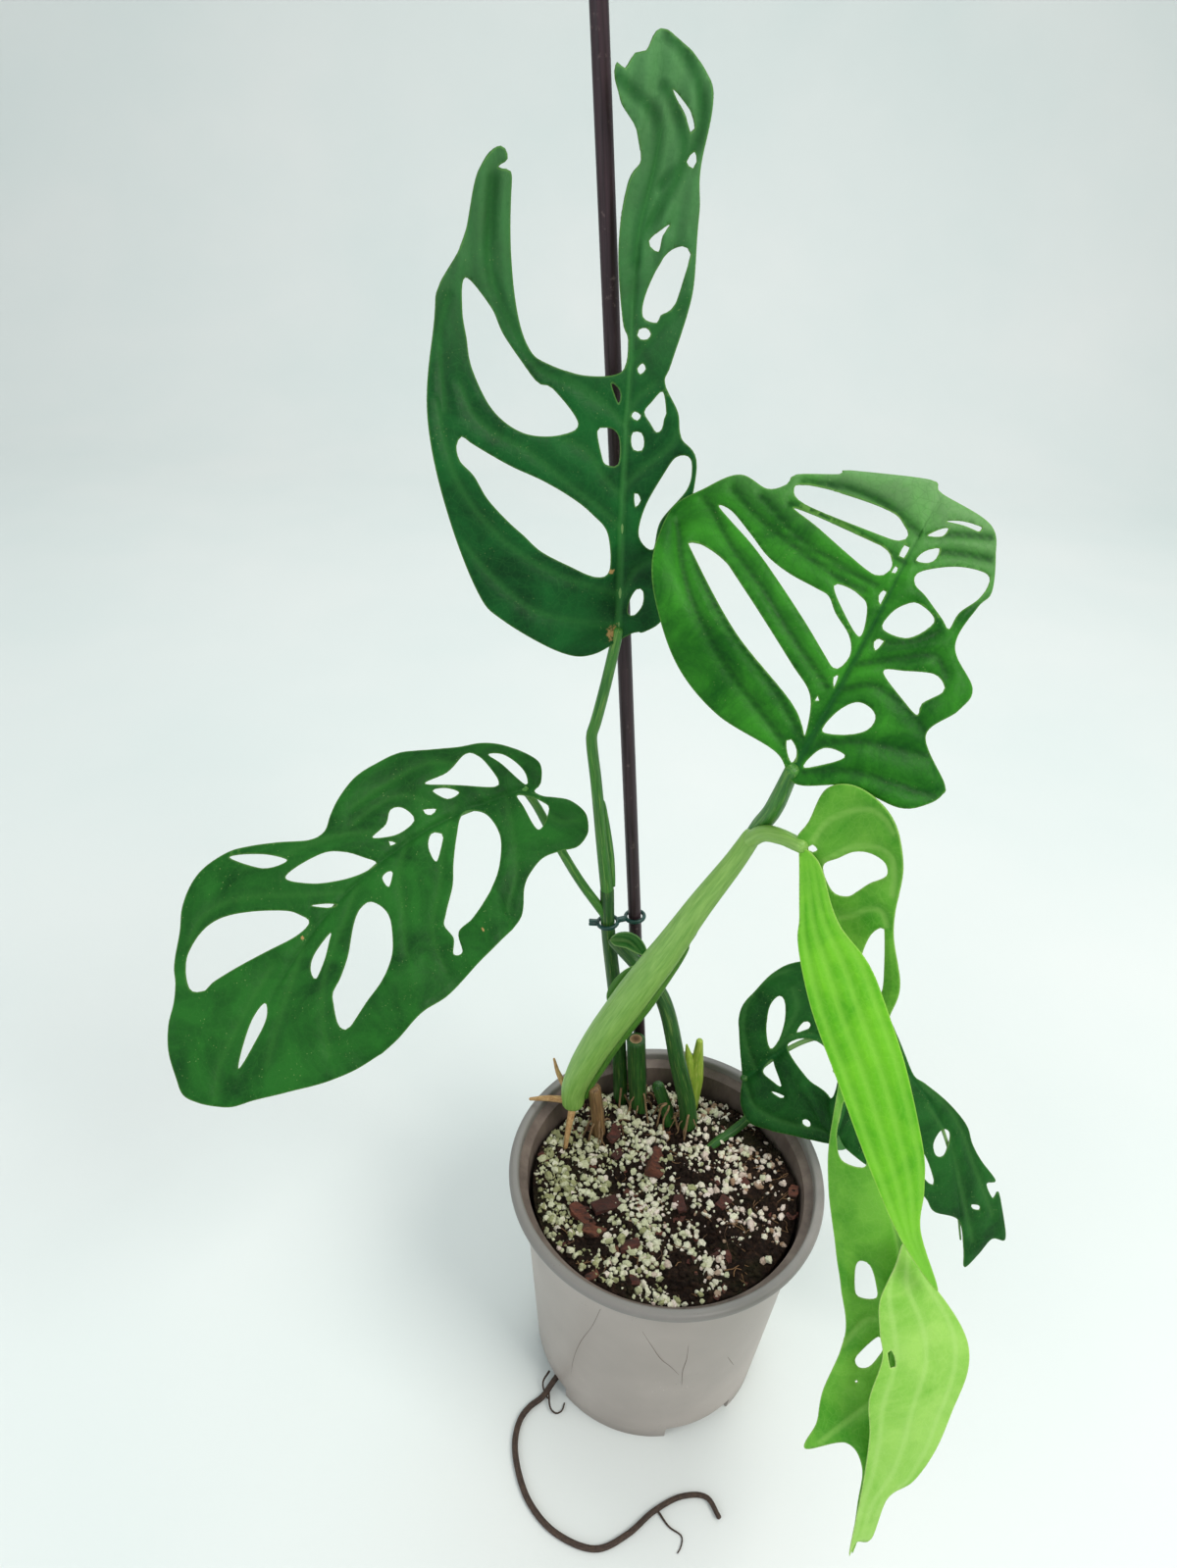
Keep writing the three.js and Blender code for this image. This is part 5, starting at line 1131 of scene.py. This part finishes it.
def pot_section():
    """Half of the pot's section as (radius, height), closed at the axis."""
    wall_inner = WALL_TOP_RADIUS - WALL
    lip_foot = POT_HEIGHT - LIP_HEIGHT
    base_rows = [PAD_RADIUS + 3 + 1.5 * i for i in range(20)]
    under = [(r, BASE_LIFT) for r in base_rows]
    over = [(r, BASE_LIFT + WALL) for r in reversed(base_rows)]
    ring_inner = FOOT_RADIUS - FOOT_RING_WIDTH
    lip = []
    for k in range(9):
        turn = math.pi * k / 8
        lip.append((RIM_RADIUS - 1.6 + 1.6 * math.sin(turn), POT_HEIGHT - 2 - 2 * math.cos(turn)))
    return [
        (0.4, 0), (PAD_RADIUS - 0.6, 0), (PAD_RADIUS, 0.5), (PAD_RADIUS + 1.6, BASE_LIFT - 0.6), *under,
        (ring_inner - 0.4, BASE_LIFT), (ring_inner, NOTCH_HEIGHT - 0.02), (ring_inner, 0.5),
        (ring_inner + 0.5, 0), (FOOT_RADIUS - 0.5, 0), (FOOT_RADIUS, 0.5),
        (FOOT_RADIUS + 0.6, NOTCH_HEIGHT), (WALL_TOP_RADIUS, lip_foot - 2),
        (WALL_TOP_RADIUS + 0.8, lip_foot - 0.4),
        *lip, (RIM_INNER_RADIUS + 0.8, POT_HEIGHT), (RIM_INNER_RADIUS + 0.2, POT_HEIGHT - 0.3),
        (RIM_INNER_RADIUS, POT_HEIGHT - 1), (RIM_INNER_RADIUS - 0.2, POT_HEIGHT - 3.4),
        (wall_inner, POT_HEIGHT - 5.5), (FOOT_RADIUS - WALL, BASE_LIFT + WALL), *over,
        (PAD_RADIUS + 0.4, BASE_LIFT + WALL - 0.4), (PAD_RADIUS - 1.4, WALL), (0.4, WALL),
    ]


def cut_notch(bm, middle_deg):
    """Takes the foot ring away between two angles and closes the cut."""
    gone = []
    for face in bm.faces:
        centre = face.calc_center_median()
        angle = math.degrees(math.atan2(centre.y, centre.x)) - middle_deg
        near = abs((angle + 180) % 360 - 180) < NOTCH_WIDTH_DEG / 2
        radius = centre.xy.length / MM
        if near and centre.z < NOTCH_HEIGHT * MM and radius > FOOT_RADIUS - FOOT_RING_WIDTH - 0.2:
            gone.append(face)
    bmesh.ops.delete(bm, geom=gone, context="FACES")
    roof_height = (NOTCH_HEIGHT - 0.1) * MM
    cut = open_edges(bm, PAD_RADIUS)
    roof = [edge for edge in cut if min(vert.co.z for vert in edge.verts) > roof_height]
    bmesh.ops.bridge_loops(bm, edges=roof)
    bmesh.ops.holes_fill(bm, edges=open_edges(bm, DRAIN_CIRCLE), sides=12)


def punch_drain(bm, turn):
    """Opens one round hole through the pot's base."""
    centre = Vector((DRAIN_CIRCLE * math.cos(turn), DRAIN_CIRCLE * math.sin(turn))) * MM
    gone = []
    for face in bm.faces:
        middle = face.calc_center_median()
        if (middle.xy - centre).length < DRAIN_RADIUS * MM and middle.z < BASE_ZONE_TOP * MM:
            gone.append(face)
    bmesh.ops.delete(bm, geom=gone, context="FACES")
    edge_loop = open_edges(bm, PAD_RADIUS)
    for vert in {vert for edge in edge_loop for vert in edge.verts}:
        away = (vert.co.xy - centre).normalized() * DRAIN_RADIUS * MM
        vert.co.xy = centre + away
    bmesh.ops.bridge_loops(bm, edges=edge_loop)


def pot(material, inside):
    bm = lathed(pot_section(), POT_STEPS)
    outwards(bm)
    for i in range(NOTCHES):
        cut_notch(bm, FIRST_NOTCH_DEG - 90 + 360 / NOTCHES * i)
    for i in range(DRAIN_HOLES):
        punch_drain(bm, 2 * math.pi * (i + 0.5) / DRAIN_HOLES)
    outwards(bm)
    for edge in bm.edges:
        if len(edge.link_faces) == 2 and edge.calc_face_angle(0) > math.radians(SHARP_EDGE_DEG):
            edge.smooth = False
    for face in bm.faces:
        centre = face.calc_center_median()
        inwards = face.normal.xy.dot(centre.xy) < 0 and centre.z < (POT_HEIGHT - 2.5) * MM
        if inwards and centre.z > BASE_ZONE_TOP * MM:
            face.material_index = 1
    return finished("nursery_pot", bm, [material, inside], ["pot"])


def soil_height(x, y):
    mound = 1.6 * math.sin(x / 9 + 1) * math.cos(y / 11) + 1.2 * math.sin((x + y) / 7)
    return SOIL_LEVEL + SOIL_SLOPE * y + mound


def crumb_height(x, y):
    """The soil's surface with its lumps."""
    lumps = 1.5 * noise.fractal(Vector((x / 7, y / 7, 3)), 0.9, 2.1, 5)
    return soil_height(x, y) - 0.6 + lumps


def soil(material):
    """A disc of crumbs that fills the pot: a line turned once round, then roughened."""
    bottom = BASE_LIFT + WALL + 0.4
    foot = FOOT_RADIUS - WALL - 0.6
    section = [(0.05 + i * SOIL_RADIUS / SOIL_RINGS, SOIL_LEVEL) for i in range(SOIL_RINGS + 1)]
    for k in range(1, 6):
        radius = foot + (SOIL_RADIUS - foot) * (1 - k / 5)
        section.append((radius, SOIL_LEVEL + (bottom - SOIL_LEVEL) * k / 5))
    bm = lathed([*section, (0.05, bottom)], SOIL_STEPS)
    for vert in bm.verts:
        x, y, z = vert.co / MM
        if z > SOIL_LEVEL - 1:
            vert.co.z = crumb_height(x, y) * MM
    outwards(bm)
    return finished("potting_mix", bm, [material], ["soil"])


def scattered(rng):
    """A place on the soil that no stem stands on."""
    while True:
        radius = (SOIL_RADIUS - 1) * math.sqrt(rng.random())
        turn = rng.uniform(0, 2 * math.pi)
        x, y = radius * math.cos(turn), radius * math.sin(turn)
        if all(math.hypot(x - a, y - b) > size for a, b, size in STANDING):
            return x, y


def gather(whole, part):
    """Moves a small shape into a larger one."""
    mesh = bpy.data.meshes.new("part")
    part.to_mesh(mesh)
    part.free()
    whole.from_mesh(mesh)
    bpy.data.meshes.remove(mesh)


def grains(name, material, count, sizes, seed, keep, sunk):
    """Rough grains on the soil. Each carries a tint, and keep says how many of them stay at a place."""
    rng = random.Random(seed)
    whole = bmesh.new()
    placed = 0
    while placed < count:
        bm = bmesh.new()
        tint = bm.verts.layers.float.new("tint")
        for _ in range(100):
            x, y = scattered(rng)
            if rng.random() > keep(x, y):
                continue
            placed += 1
            size = rng.choice(sizes) * rng.uniform(0.8, 1.25)
            grain = bmesh.ops.create_icosphere(bm, subdivisions=1, radius=size)["verts"]
            shade = min(1, max(0, 0.45 + x / 120 + rng.gauss(0, 0.25)))
            axis = Vector((rng.gauss(0, 1), rng.gauss(0, 1), 1)).normalized()
            turn = Matrix.Rotation(rng.uniform(0, 6.3), 3, axis)
            squeeze = Vector((rng.uniform(0.75, 1.3), rng.uniform(0.75, 1.2), rng.uniform(0.6, 1)))
            centre = Vector((x, y, crumb_height(x, y) + size * rng.uniform(*sunk)))
            for vert in grain:
                vert[tint] = shade
                jitter = 1 + rng.uniform(-0.25, 0.25)
                vert.co = (turn @ (vert.co * jitter * squeeze) + centre) * MM
        gather(whole, bm)
    return finished(name, whole, [material], smooth=False)


def perlite_share(x, y):
    """Thick at the left and in patches, thin at the right and in front."""
    patch = 1.1 * noise.noise(Vector((x / 12, y / 12, 8)))
    return 0.55 + patch - x / 130 + y / 220


def crumb_share(x, y):
    """Thick where the perlite is thin."""
    return 0.6 - noise.noise(Vector((x / 12, y / 12, 8)))


def bark(material):
    """Pine bark: a few large chips at listed places, and small ones all over."""
    rng = random.Random(11)
    whole = bmesh.new()
    chips = [(x, y, 0, length, turn) for x, y, length, turn in BARK_PLACES]
    for _ in range(46):
        chips.append((*scattered(rng), -0.4, rng.uniform(2.5, 6.5), rng.uniform(0, 6.3)))
    for x, y, sunk, length, heading in chips:
        bm = bmesh.new()
        tint = bm.verts.layers.float.new("tint")
        bmesh.ops.create_cube(bm, size=1)
        size = Vector((length, length * rng.uniform(0.4, 0.6), length * rng.uniform(0.16, 0.26)))
        bmesh.ops.scale(bm, vec=size, verts=bm.verts)
        bmesh.ops.subdivide_edges(bm, edges=bm.edges[:], cuts=4, use_grid_fill=True)
        turn = Matrix.Rotation(heading, 3, "Z") @ Matrix.Rotation(rng.uniform(-0.35, 0.35), 3, "X")
        turn = turn @ Matrix.Rotation(rng.uniform(-0.25, 0.25), 3, "Y")
        centre = Vector((x, y, crumb_height(x, y) + 0.3 * size.z + sunk))
        shade, start = rng.random(), Vector((rng.uniform(0, 50), 0, 0))
        for vert in bm.verts:
            vert[tint] = shade
            ends = abs(vert.co.x) / size.x
            bent = Vector((vert.co.x, vert.co.y * (1.1 - 0.9 * ends * ends), vert.co.z))
            bent += noise.noise_vector(bent * (2.4 / length) + start) * 0.14 * length
            bent.z += 0.1 * length * (bent.y / size.y) ** 2
            vert.co = (turn @ bent + centre) * MM
        gather(whole, bm)
    outwards(whole)
    return finished("bark_chips", whole, [material], smooth=False)


def fibres(material):
    rng = random.Random(23)
    bm = bmesh.new()
    for _ in range(FIBRES):
        x, y = scattered(rng)
        heading, length = rng.uniform(0, 6.3), rng.uniform(3, 11)
        points = []
        for _ in range(4):
            z = crumb_height(x, y) + rng.uniform(0.2, 1.2)
            points.append((x, y, z))
            heading += rng.gauss(0, 0.6)
            x += length / 3 * math.cos(heading)
            y += length / 3 * math.sin(heading)
            if math.hypot(x, y) > SOIL_RADIUS - 1:
                x, y = x * 0.9, y * 0.9
        tube(bm, {"points": points, "radii": [0.22, 0.18, 0.1]}, sides=5, step=1.6)
    outwards(bm)
    return finished("coir_fibres", bm, [material])


def clip_ring(bm, ring):
    """A rounded band round a stem, turned from one small section."""
    axis = Vector(ring["axis"]).normalized()
    radius = ring["inner"] + CLIP_THICK
    section = bmesh.ops.create_circle(bm, segments=12, radius=CLIP_THICK)["verts"]
    for vert in section:
        vert.co = Vector((radius + vert.co.x * 0.95, 0, vert.co.y * 1.15))
    turned(bm, section + edges_of(section), CLIP_STEPS)
    new = {vert for face in bm.faces for vert in face.verts if not vert.tag}
    turn = Vector((0, 0, 1)).rotation_difference(axis).to_matrix()
    for vert in new | set(section):
        vert.co = (turn @ vert.co + Vector(ring["at"])) * MM
        vert.tag = True


def clip(material):
    bm = bmesh.new()
    for ring in (CLIP_STEM, CLIP_CANE):
        clip_ring(bm, ring)
    bmesh.ops.remove_doubles(bm, verts=bm.verts, dist=SEAM)
    apart = Vector(CLIP_CANE["at"]) - Vector(CLIP_STEM["at"])
    middle = Vector(CLIP_STEM["at"]) + apart / 2
    blocks = [(middle, (4.2, 2, 1.8), math.atan2(apart.y, apart.x))]
    left = Vector(CLIP_STEM["at"]) - Vector((CLIP_STEM["inner"] + 2.6, 0.5, 0))
    blocks += [(left + Vector((0, 0, z)), (3.6, 1.7, 0.8), 0) for z in (-0.9, 0.9)]
    for centre, size, heading in blocks:
        block = bmesh.ops.create_cube(bm, size=1)["verts"]
        bmesh.ops.scale(bm, vec=Vector(size) * MM, verts=block)
        bmesh.ops.rotate(bm, cent=(0, 0, 0), matrix=Matrix.Rotation(heading, 3, "Z"), verts=block)
        bmesh.ops.translate(bm, vec=centre * MM, verts=block)
        bmesh.ops.bevel(
            bm, geom=edges_of(block), offset=0.3 * MM, segments=2, profile=0.5, affect="EDGES",
            material=-1,
        )
    outwards(bm)
    return finished("stem_clip", bm, [material], ["plant_clip"])


def wing(name, line, side, material, reach=3.0, start=0.0, end=1.0, lift=0.3):
    """A thin edge along a sheath: a strip drawn out along its course."""
    centres, spots = stem_course(line["points"], 1.5)
    radii = radii_at(line, spots)
    first, last = int(start * (len(centres) - 1)), int(end * (len(centres) - 1))
    bm = bmesh.new()
    skin = bm.verts.layers.float_vector.new("skin")
    row = [bm.verts.new((0, k, 0)) for k in range(5)]
    edges = [bm.edges.new(pair) for pair in zip(row, row[1:])]
    strip = [row]
    for _ in range(first, last):
        row, edges = drawn_out(bm, edges)
        strip.append(sorted(row, key=lambda vert: vert.co.y))
    along = np.gradient(centres, axis=0)
    for i, row in zip(range(first, last + 1), strip):
        across, front = axes_across(Vector(along[i]).normalized())
        share = (i - first) / max(1, last - first)
        swell = math.sin(math.pi * min(1, 0.08 + share)) ** 0.5 * (1 + 0.12 * math.sin(spots[i] / 9))
        for k, vert in enumerate(row):
            out = k / 4
            a = side * (radii[i] * 0.86 + reach * swell * out * (1 - 0.3 * out))
            b = radii[i] * lift - reach * swell * out * out * 0.35
            vert[skin] = (a, b, spots[i])
            vert.co = (Vector(centres[i]) + across * a + front * b) * MM
    piece = finished(name, bm, [material])
    shelled(piece, WING_THICK, 0)


# Studio.


def camera():
    pitch, roll = math.radians(CAMERA_PITCH_DEG), math.radians(CAMERA_ROLL_DEG)
    forward = Vector((0, math.cos(pitch), -math.sin(pitch)))
    level_up = Vector((0, math.sin(pitch), math.cos(pitch)))
    right = math.cos(roll) * Vector((1, 0, 0)) + math.sin(roll) * level_up
    up = -math.sin(roll) * Vector((1, 0, 0)) + math.cos(roll) * level_up
    data = bpy.data.cameras.new("Camera")
    data.sensor_width = SENSOR_WIDTH
    data.lens = CAMERA_FOCAL_PX / PHOTO_HEIGHT_PX * SENSOR_WIDTH
    data.clip_start = 0.01
    seen_from = linked("Camera", data)
    turn = Matrix((right, up, -forward)).transposed()
    seen_from.matrix_world = Matrix.Translation(Vector(CAMERA_PLACE) * MM) @ turn.to_4x4()
    bpy.context.scene.camera = seen_from


def studio():
    """A pale floor that sweeps up into a backdrop, a pale world and three soft lamps."""
    f = Finish("Pale paper", Roughness=0.85)
    shade = f.ramp(f.clouds(3), (0.3, (218, 226, 224)), (0.7, (226, 230, 228)))
    f.shade(Base_Color=shade, Normal=f.relief(f.clouds(700), 0.05))
    bm = bmesh.new()
    front = [bm.verts.new((x, FLOOR_FRONT, 0)) for x in (-FLOOR_WIDTH / 2, FLOOR_WIDTH / 2)]
    verts, edges = drawn_out(bm, [bm.edges.new(front)])
    bmesh.ops.translate(bm, vec=(0, SWEEP_START - FLOOR_FRONT, 0), verts=verts)
    swept = bmesh.ops.spin(
        bm, geom=edges + verts, axis=(1, 0, 0), cent=(0, SWEEP_START, SWEEP_RADIUS), angle=math.pi / 2,
        steps=16,
    )["geom_last"]
    verts, edges = drawn_out(bm, [part for part in swept if isinstance(part, bmesh.types.BMEdge)])
    bmesh.ops.translate(bm, vec=(0, 0, BACKDROP_HEIGHT), verts=verts)
    outwards(bm)
    if bm.faces[0].normal.z < 0:
        bmesh.ops.reverse_faces(bm, faces=bm.faces)
    solid("floor", bm, [f.material])

    world = bpy.data.worlds.new("Pale room")
    world.use_nodes = True
    background = world.node_tree.nodes["Background"]
    background.inputs["Color"].default_value = (*ROOM_COLOUR, 1)
    background.inputs["Strength"].default_value = ROOM_LIGHT
    bpy.context.scene.world = world
    for name, place, size, power, colour in LAMPS:
        light = bpy.data.lights.new(name, "AREA")
        light.size = size
        light.energy = power
        light.color = colour
        lamp = linked(name, light)
        lamp.location = place
        aim = Vector((0, 0, LAMP_AIM)) - Vector(place)
        lamp.rotation_euler = aim.to_track_quat("-Z", "Y").to_euler()
    bpy.context.scene.view_settings.view_transform = "Standard"


def fine_roots(material):
    """Hair roots that leave the feet of the stems and go into the soil."""
    rng = random.Random(31)
    bm = bmesh.new()
    for x, y, size in ((-10.5, 42, 4), (-28, 26, 3), (-18.5, 45.5, 3), (3.6, 36.5, 3), (12, 34.5, 4)):
        for _ in range(9):
            turn = rng.uniform(0, 6.3)
            out = Vector((math.cos(turn), math.sin(turn), 0))
            top = Vector((x, y, rng.uniform(107, 116))) + out * size * 0.9
            points = [top, top + out * rng.uniform(1, 2.5) - Vector((0, 0, rng.uniform(0.5, 2)))]
            foot = top + out * rng.uniform(2.5, 6)
            if foot.xy.length > SOIL_RADIUS - 1.5:
                continue
            foot.z = soil_height(foot.x, foot.y) - 1
            strayed = Vector((rng.gauss(0, 0.6), rng.gauss(0, 0.6), 0.8))
            points += [(points[1] + foot) / 2 + strayed, foot]
            thick = rng.uniform(0.25, 0.6)
            tube(bm, {"points": points, "radii": [thick, thick * 0.7]}, sides=6, step=1.2)
    outwards(bm)
    return finished("fine_roots", bm, [material])


def root_shadow_lines(material):
    """Thin grey tubes that lie half in the pot wall: painted shadows of the roots inside, seen through the
    wall.
    """
    bm = bmesh.new()
    for points in ROOT_SHADOW_LINES:
        tube(bm, {"points": points, "radii": [0.1, 0.17, 0.08]}, sides=6, step=2)
    outwards(bm)
    return finished("root_shadow_lines", bm, [material])


camera()
studio()

pot(taupe_plastic(), pot_inside())
dark_soil = potting_soil()
soil(dark_soil)
grains("soil_crumbs", dark_soil, SOIL_CRUMBS, (0.5, 0.8, 1.1, 1.5), 5, crumb_share, (-0.2, 0.3))
grains(
    "perlite", perlite_white(), PERLITE_GRAINS, (0.4, 0.55, 0.75, 0.95, 1.2, 1.5), 7, perlite_share,
    (0.1, 0.6),
)
bark(bark_brown())
fibres(fibre_tan())

old_green = stem_skin("Old stem", (16, 64, 22), (48, 100, 36), (120, 146, 72))
petiole_green = stem_skin("Petiole", (36, 98, 32), (72, 134, 48), (140, 172, 84))
sheath_green = stem_skin("Sheath", (110, 160, 66), (144, 188, 92), (170, 204, 122), streaks=0.25)
sheath_inside = stem_skin("Sheath inside", (52, 106, 28), (84, 138, 42), (136, 170, 80), streaks=0.25)
shoot_green = stem_skin("New shoot", (116, 150, 44), (160, 184, 70), (200, 200, 116))
dry_husk = stem_skin("Dry husk", (84, 62, 40), (142, 110, 72), (176, 146, 102), streaks=0.6)
tan_root = root_skin("Aerial root", (150, 104, 58), (216, 182, 126))
dry_root = root_skin("Fine root", (92, 68, 46), (164, 134, 96))
brown_root = root_skin("Long root", (40, 30, 26), (86, 68, 56))
# Painted shade: the grey of the root shadows on the pot wall.
root_shadow_grey = root_skin("Painted root shadow", (120, 110, 102), (146, 137, 129))

stem("cane", CANE, cane_plastic(), "cane", "stake", sides=24, step=8)
clip(clip_green())
stem("old_stem", STEM_MAIN, old_green, "stem", "stem_main")
stem("second_stem", STEM_SECOND, old_green, "stem", "stem_second")
stem("cut_stub", STEM_STUB, old_green, "stem", "stem_stub", cut=cut_wood(), tip=0.12)
stem("low_stem", STEM_LOW, old_green, "stem", "stem_low")
stem("sheath_foot_stem", SHEATH_FOOT, dry_husk, "stem", "sheath_foot")
stem("sheathed_stem", SHEATH, sheath_green, "pale_stem", "sheath", sides=28)
wing("sheath_edge_upper", SHEATH, -1, sheath_green, reach=1, start=0.1, end=0.9, lift=0.2)
wing("sheath_edge_lower", SHEATH, 1, sheath_inside, reach=5.5, start=0.02, end=0.72, lift=0.48)
stem("upper_petiole", PETIOLE_UPPER, petiole_green, "stem", "petiole_upper")
wing("upper_petiole_edge", PETIOLE_UPPER, 1, petiole_green, reach=2.4, start=0.02, end=0.42)
stem("left_petiole", PETIOLE_LEFT, petiole_green, "stem", "petiole_left")
stem("young_petiole", PETIOLE_YOUNG, sheath_green, "pale_stem", "petiole_young")
stem("right_petiole", PETIOLE_RIGHT, petiole_green, "stem", "petiole_right")
stem("low_petiole", PETIOLE_LOW, old_green, "stem", "petiole_low")
stem("new_shoot", SHOOT, shoot_green, "young_leaf", "shoot")
stem("new_shoot_lobe", SHOOT_LOBE, shoot_green, "young_leaf")
for number, line in enumerate(AIR_ROOTS, 1):
    stem(f"aerial_root_{number}", line, tan_root, "root", f"root_air_{number}", sides=12, step=1.2)
stem("long_root", FLOOR_ROOT, brown_root, "dark_root", "root_floor", sides=12, step=1.6)
for number, line in enumerate(ROOTLETS, 1):
    stem(f"rootlet_{number}", line, brown_root, "dark_root", sides=8, step=1)
fine_roots(dry_root)
# Painted shadows of the roots inside the pot, laid on its wall.
root_shadow_lines(root_shadow_grey)

# The upper leaf's far half carries a painted sheen.
upper_face = leaf_face(
    "Upper leaf", (2, 52, 18), (18, 86, 34), (52, 114, 52), (60, 124, 60), DULL_EDGE, vein_share=0.2,
    painted_sheen=(96, 150, 92), painted_sheen_from=(75, 165), scars=[((2, -2), 5), ((22, -3), 2.2)],
)
left_face = leaf_face(
    "Left leaf", (8, 62, 14), (30, 96, 28), (54, 116, 44), (16, 76, 20), DULL_EDGE, vein_share=0.15,
    specks=0.5, scars=[((96, 2), 1.6), ((44, -42), 1.8)],
)
# Painted shade: the right leaf's dark vein and rib colours stand for the shade in its sunken veins and rib;
# its pale painted sheen stands for glossy reflection on its far part.
right_face = leaf_face(
    "Right leaf", (10, 76, 10), (48, 126, 28), (6, 54, 10), (12, 74, 24), (110, 160, 70),
    vein_share=0.55, rib_share=0.8, painted_sheen=(140, 182, 124), painted_sheen_from=(66, 112),
)
low_face = leaf_face(
    "Low leaf", (6, 56, 14), (26, 88, 28), (66, 122, 56), (16, 78, 30), DULL_EDGE, vein_share=0.2,
    specks=0.6, scars=[((62, -26), 2.4), ((100, -12), 1.6)],
)
strap_face = leaf_face(
    "Young strap", (66, 150, 14), (104, 180, 34), (140, 202, 74), (60, 140, 20), (160, 202, 90),
    specks=0.1,
)
lobe_face = leaf_face(
    "Young lobe", (118, 180, 62), (150, 200, 92), (172, 212, 120), (120, 180, 70), (180, 212, 122),
    specks=0.1,
)
young_back = leaf_face(
    "Young leaf", (64, 140, 30), (108, 172, 58), (144, 194, 92), (150, 196, 100), (160, 196, 104),
    vein_share=0.4, specks=0.1,
)
flap_face = leaf_face(
    "Old leaf base", (18, 78, 24), (44, 110, 40), (90, 140, 70), (120, 160, 90), (150, 180, 110)
)
dark_under = leaf_back("Dark underside", (52, 104, 52), (84, 132, 74), (126, 162, 98))
mid_under = leaf_back("Mid underside", (74, 128, 54), (108, 158, 78), (150, 184, 106))
young_under = leaf_back("Young underside", (112, 164, 66), (150, 192, 98), (190, 214, 138))

blade(
    "upper_blade", UPPER, [upper_face, dark_under], "dark_leaf", ["leaf_upper"], ripple=(88, 0.7, 6.5)
)
blade("left_blade", LEFT, [left_face, dark_under], "dark_leaf", ["leaf_left"], groove=0.2, bulge=0.4)
blade("right_blade", RIGHT, [right_face, mid_under], "mid_leaf", ["leaf_right"], groove=0.6, bulge=0.9)
blade("low_blade", LOW, [low_face, dark_under], "dark_leaf", ["leaf_low"])
blade("young_blade", YOUNG_BACK, [young_back, young_under], "young_leaf", ["leaf_young"])
blade(
    "young_strap", YOUNG_STRAP, [strap_face, young_under], "young_leaf", ["leaf_young"], rib=0, strands=4,
    groove=0.2, bulge=0.35,
)
blade(
    "young_lobe", YOUNG_LOBE, [lobe_face, young_under], "young_leaf", ["leaf_young"], rib=0, strands=3,
    groove=-0.1, bulge=0.25,
)
blade("old_leaf_base", OLD_LEAF_BASE, [flap_face, dark_under], "dark_leaf", groove=0.15, bulge=0.2)
blade("sheath_flap", SHEATH_FLAP, [sheath_inside, sheath_green], "pale_stem", rib=0, bulge=0.1)
midrib("upper_midrib", UPPER, 1.3, 0.95, dark_under)
midrib("left_midrib", LEFT, 1.2, 0.74, dark_under)
midrib("right_midrib", RIGHT, 1.3, 0.93, mid_under)
midrib("low_midrib", LOW, 1.2, 0.93, dark_under)
midrib("young_midrib", YOUNG_BACK, 1.3, 0.95, young_under)
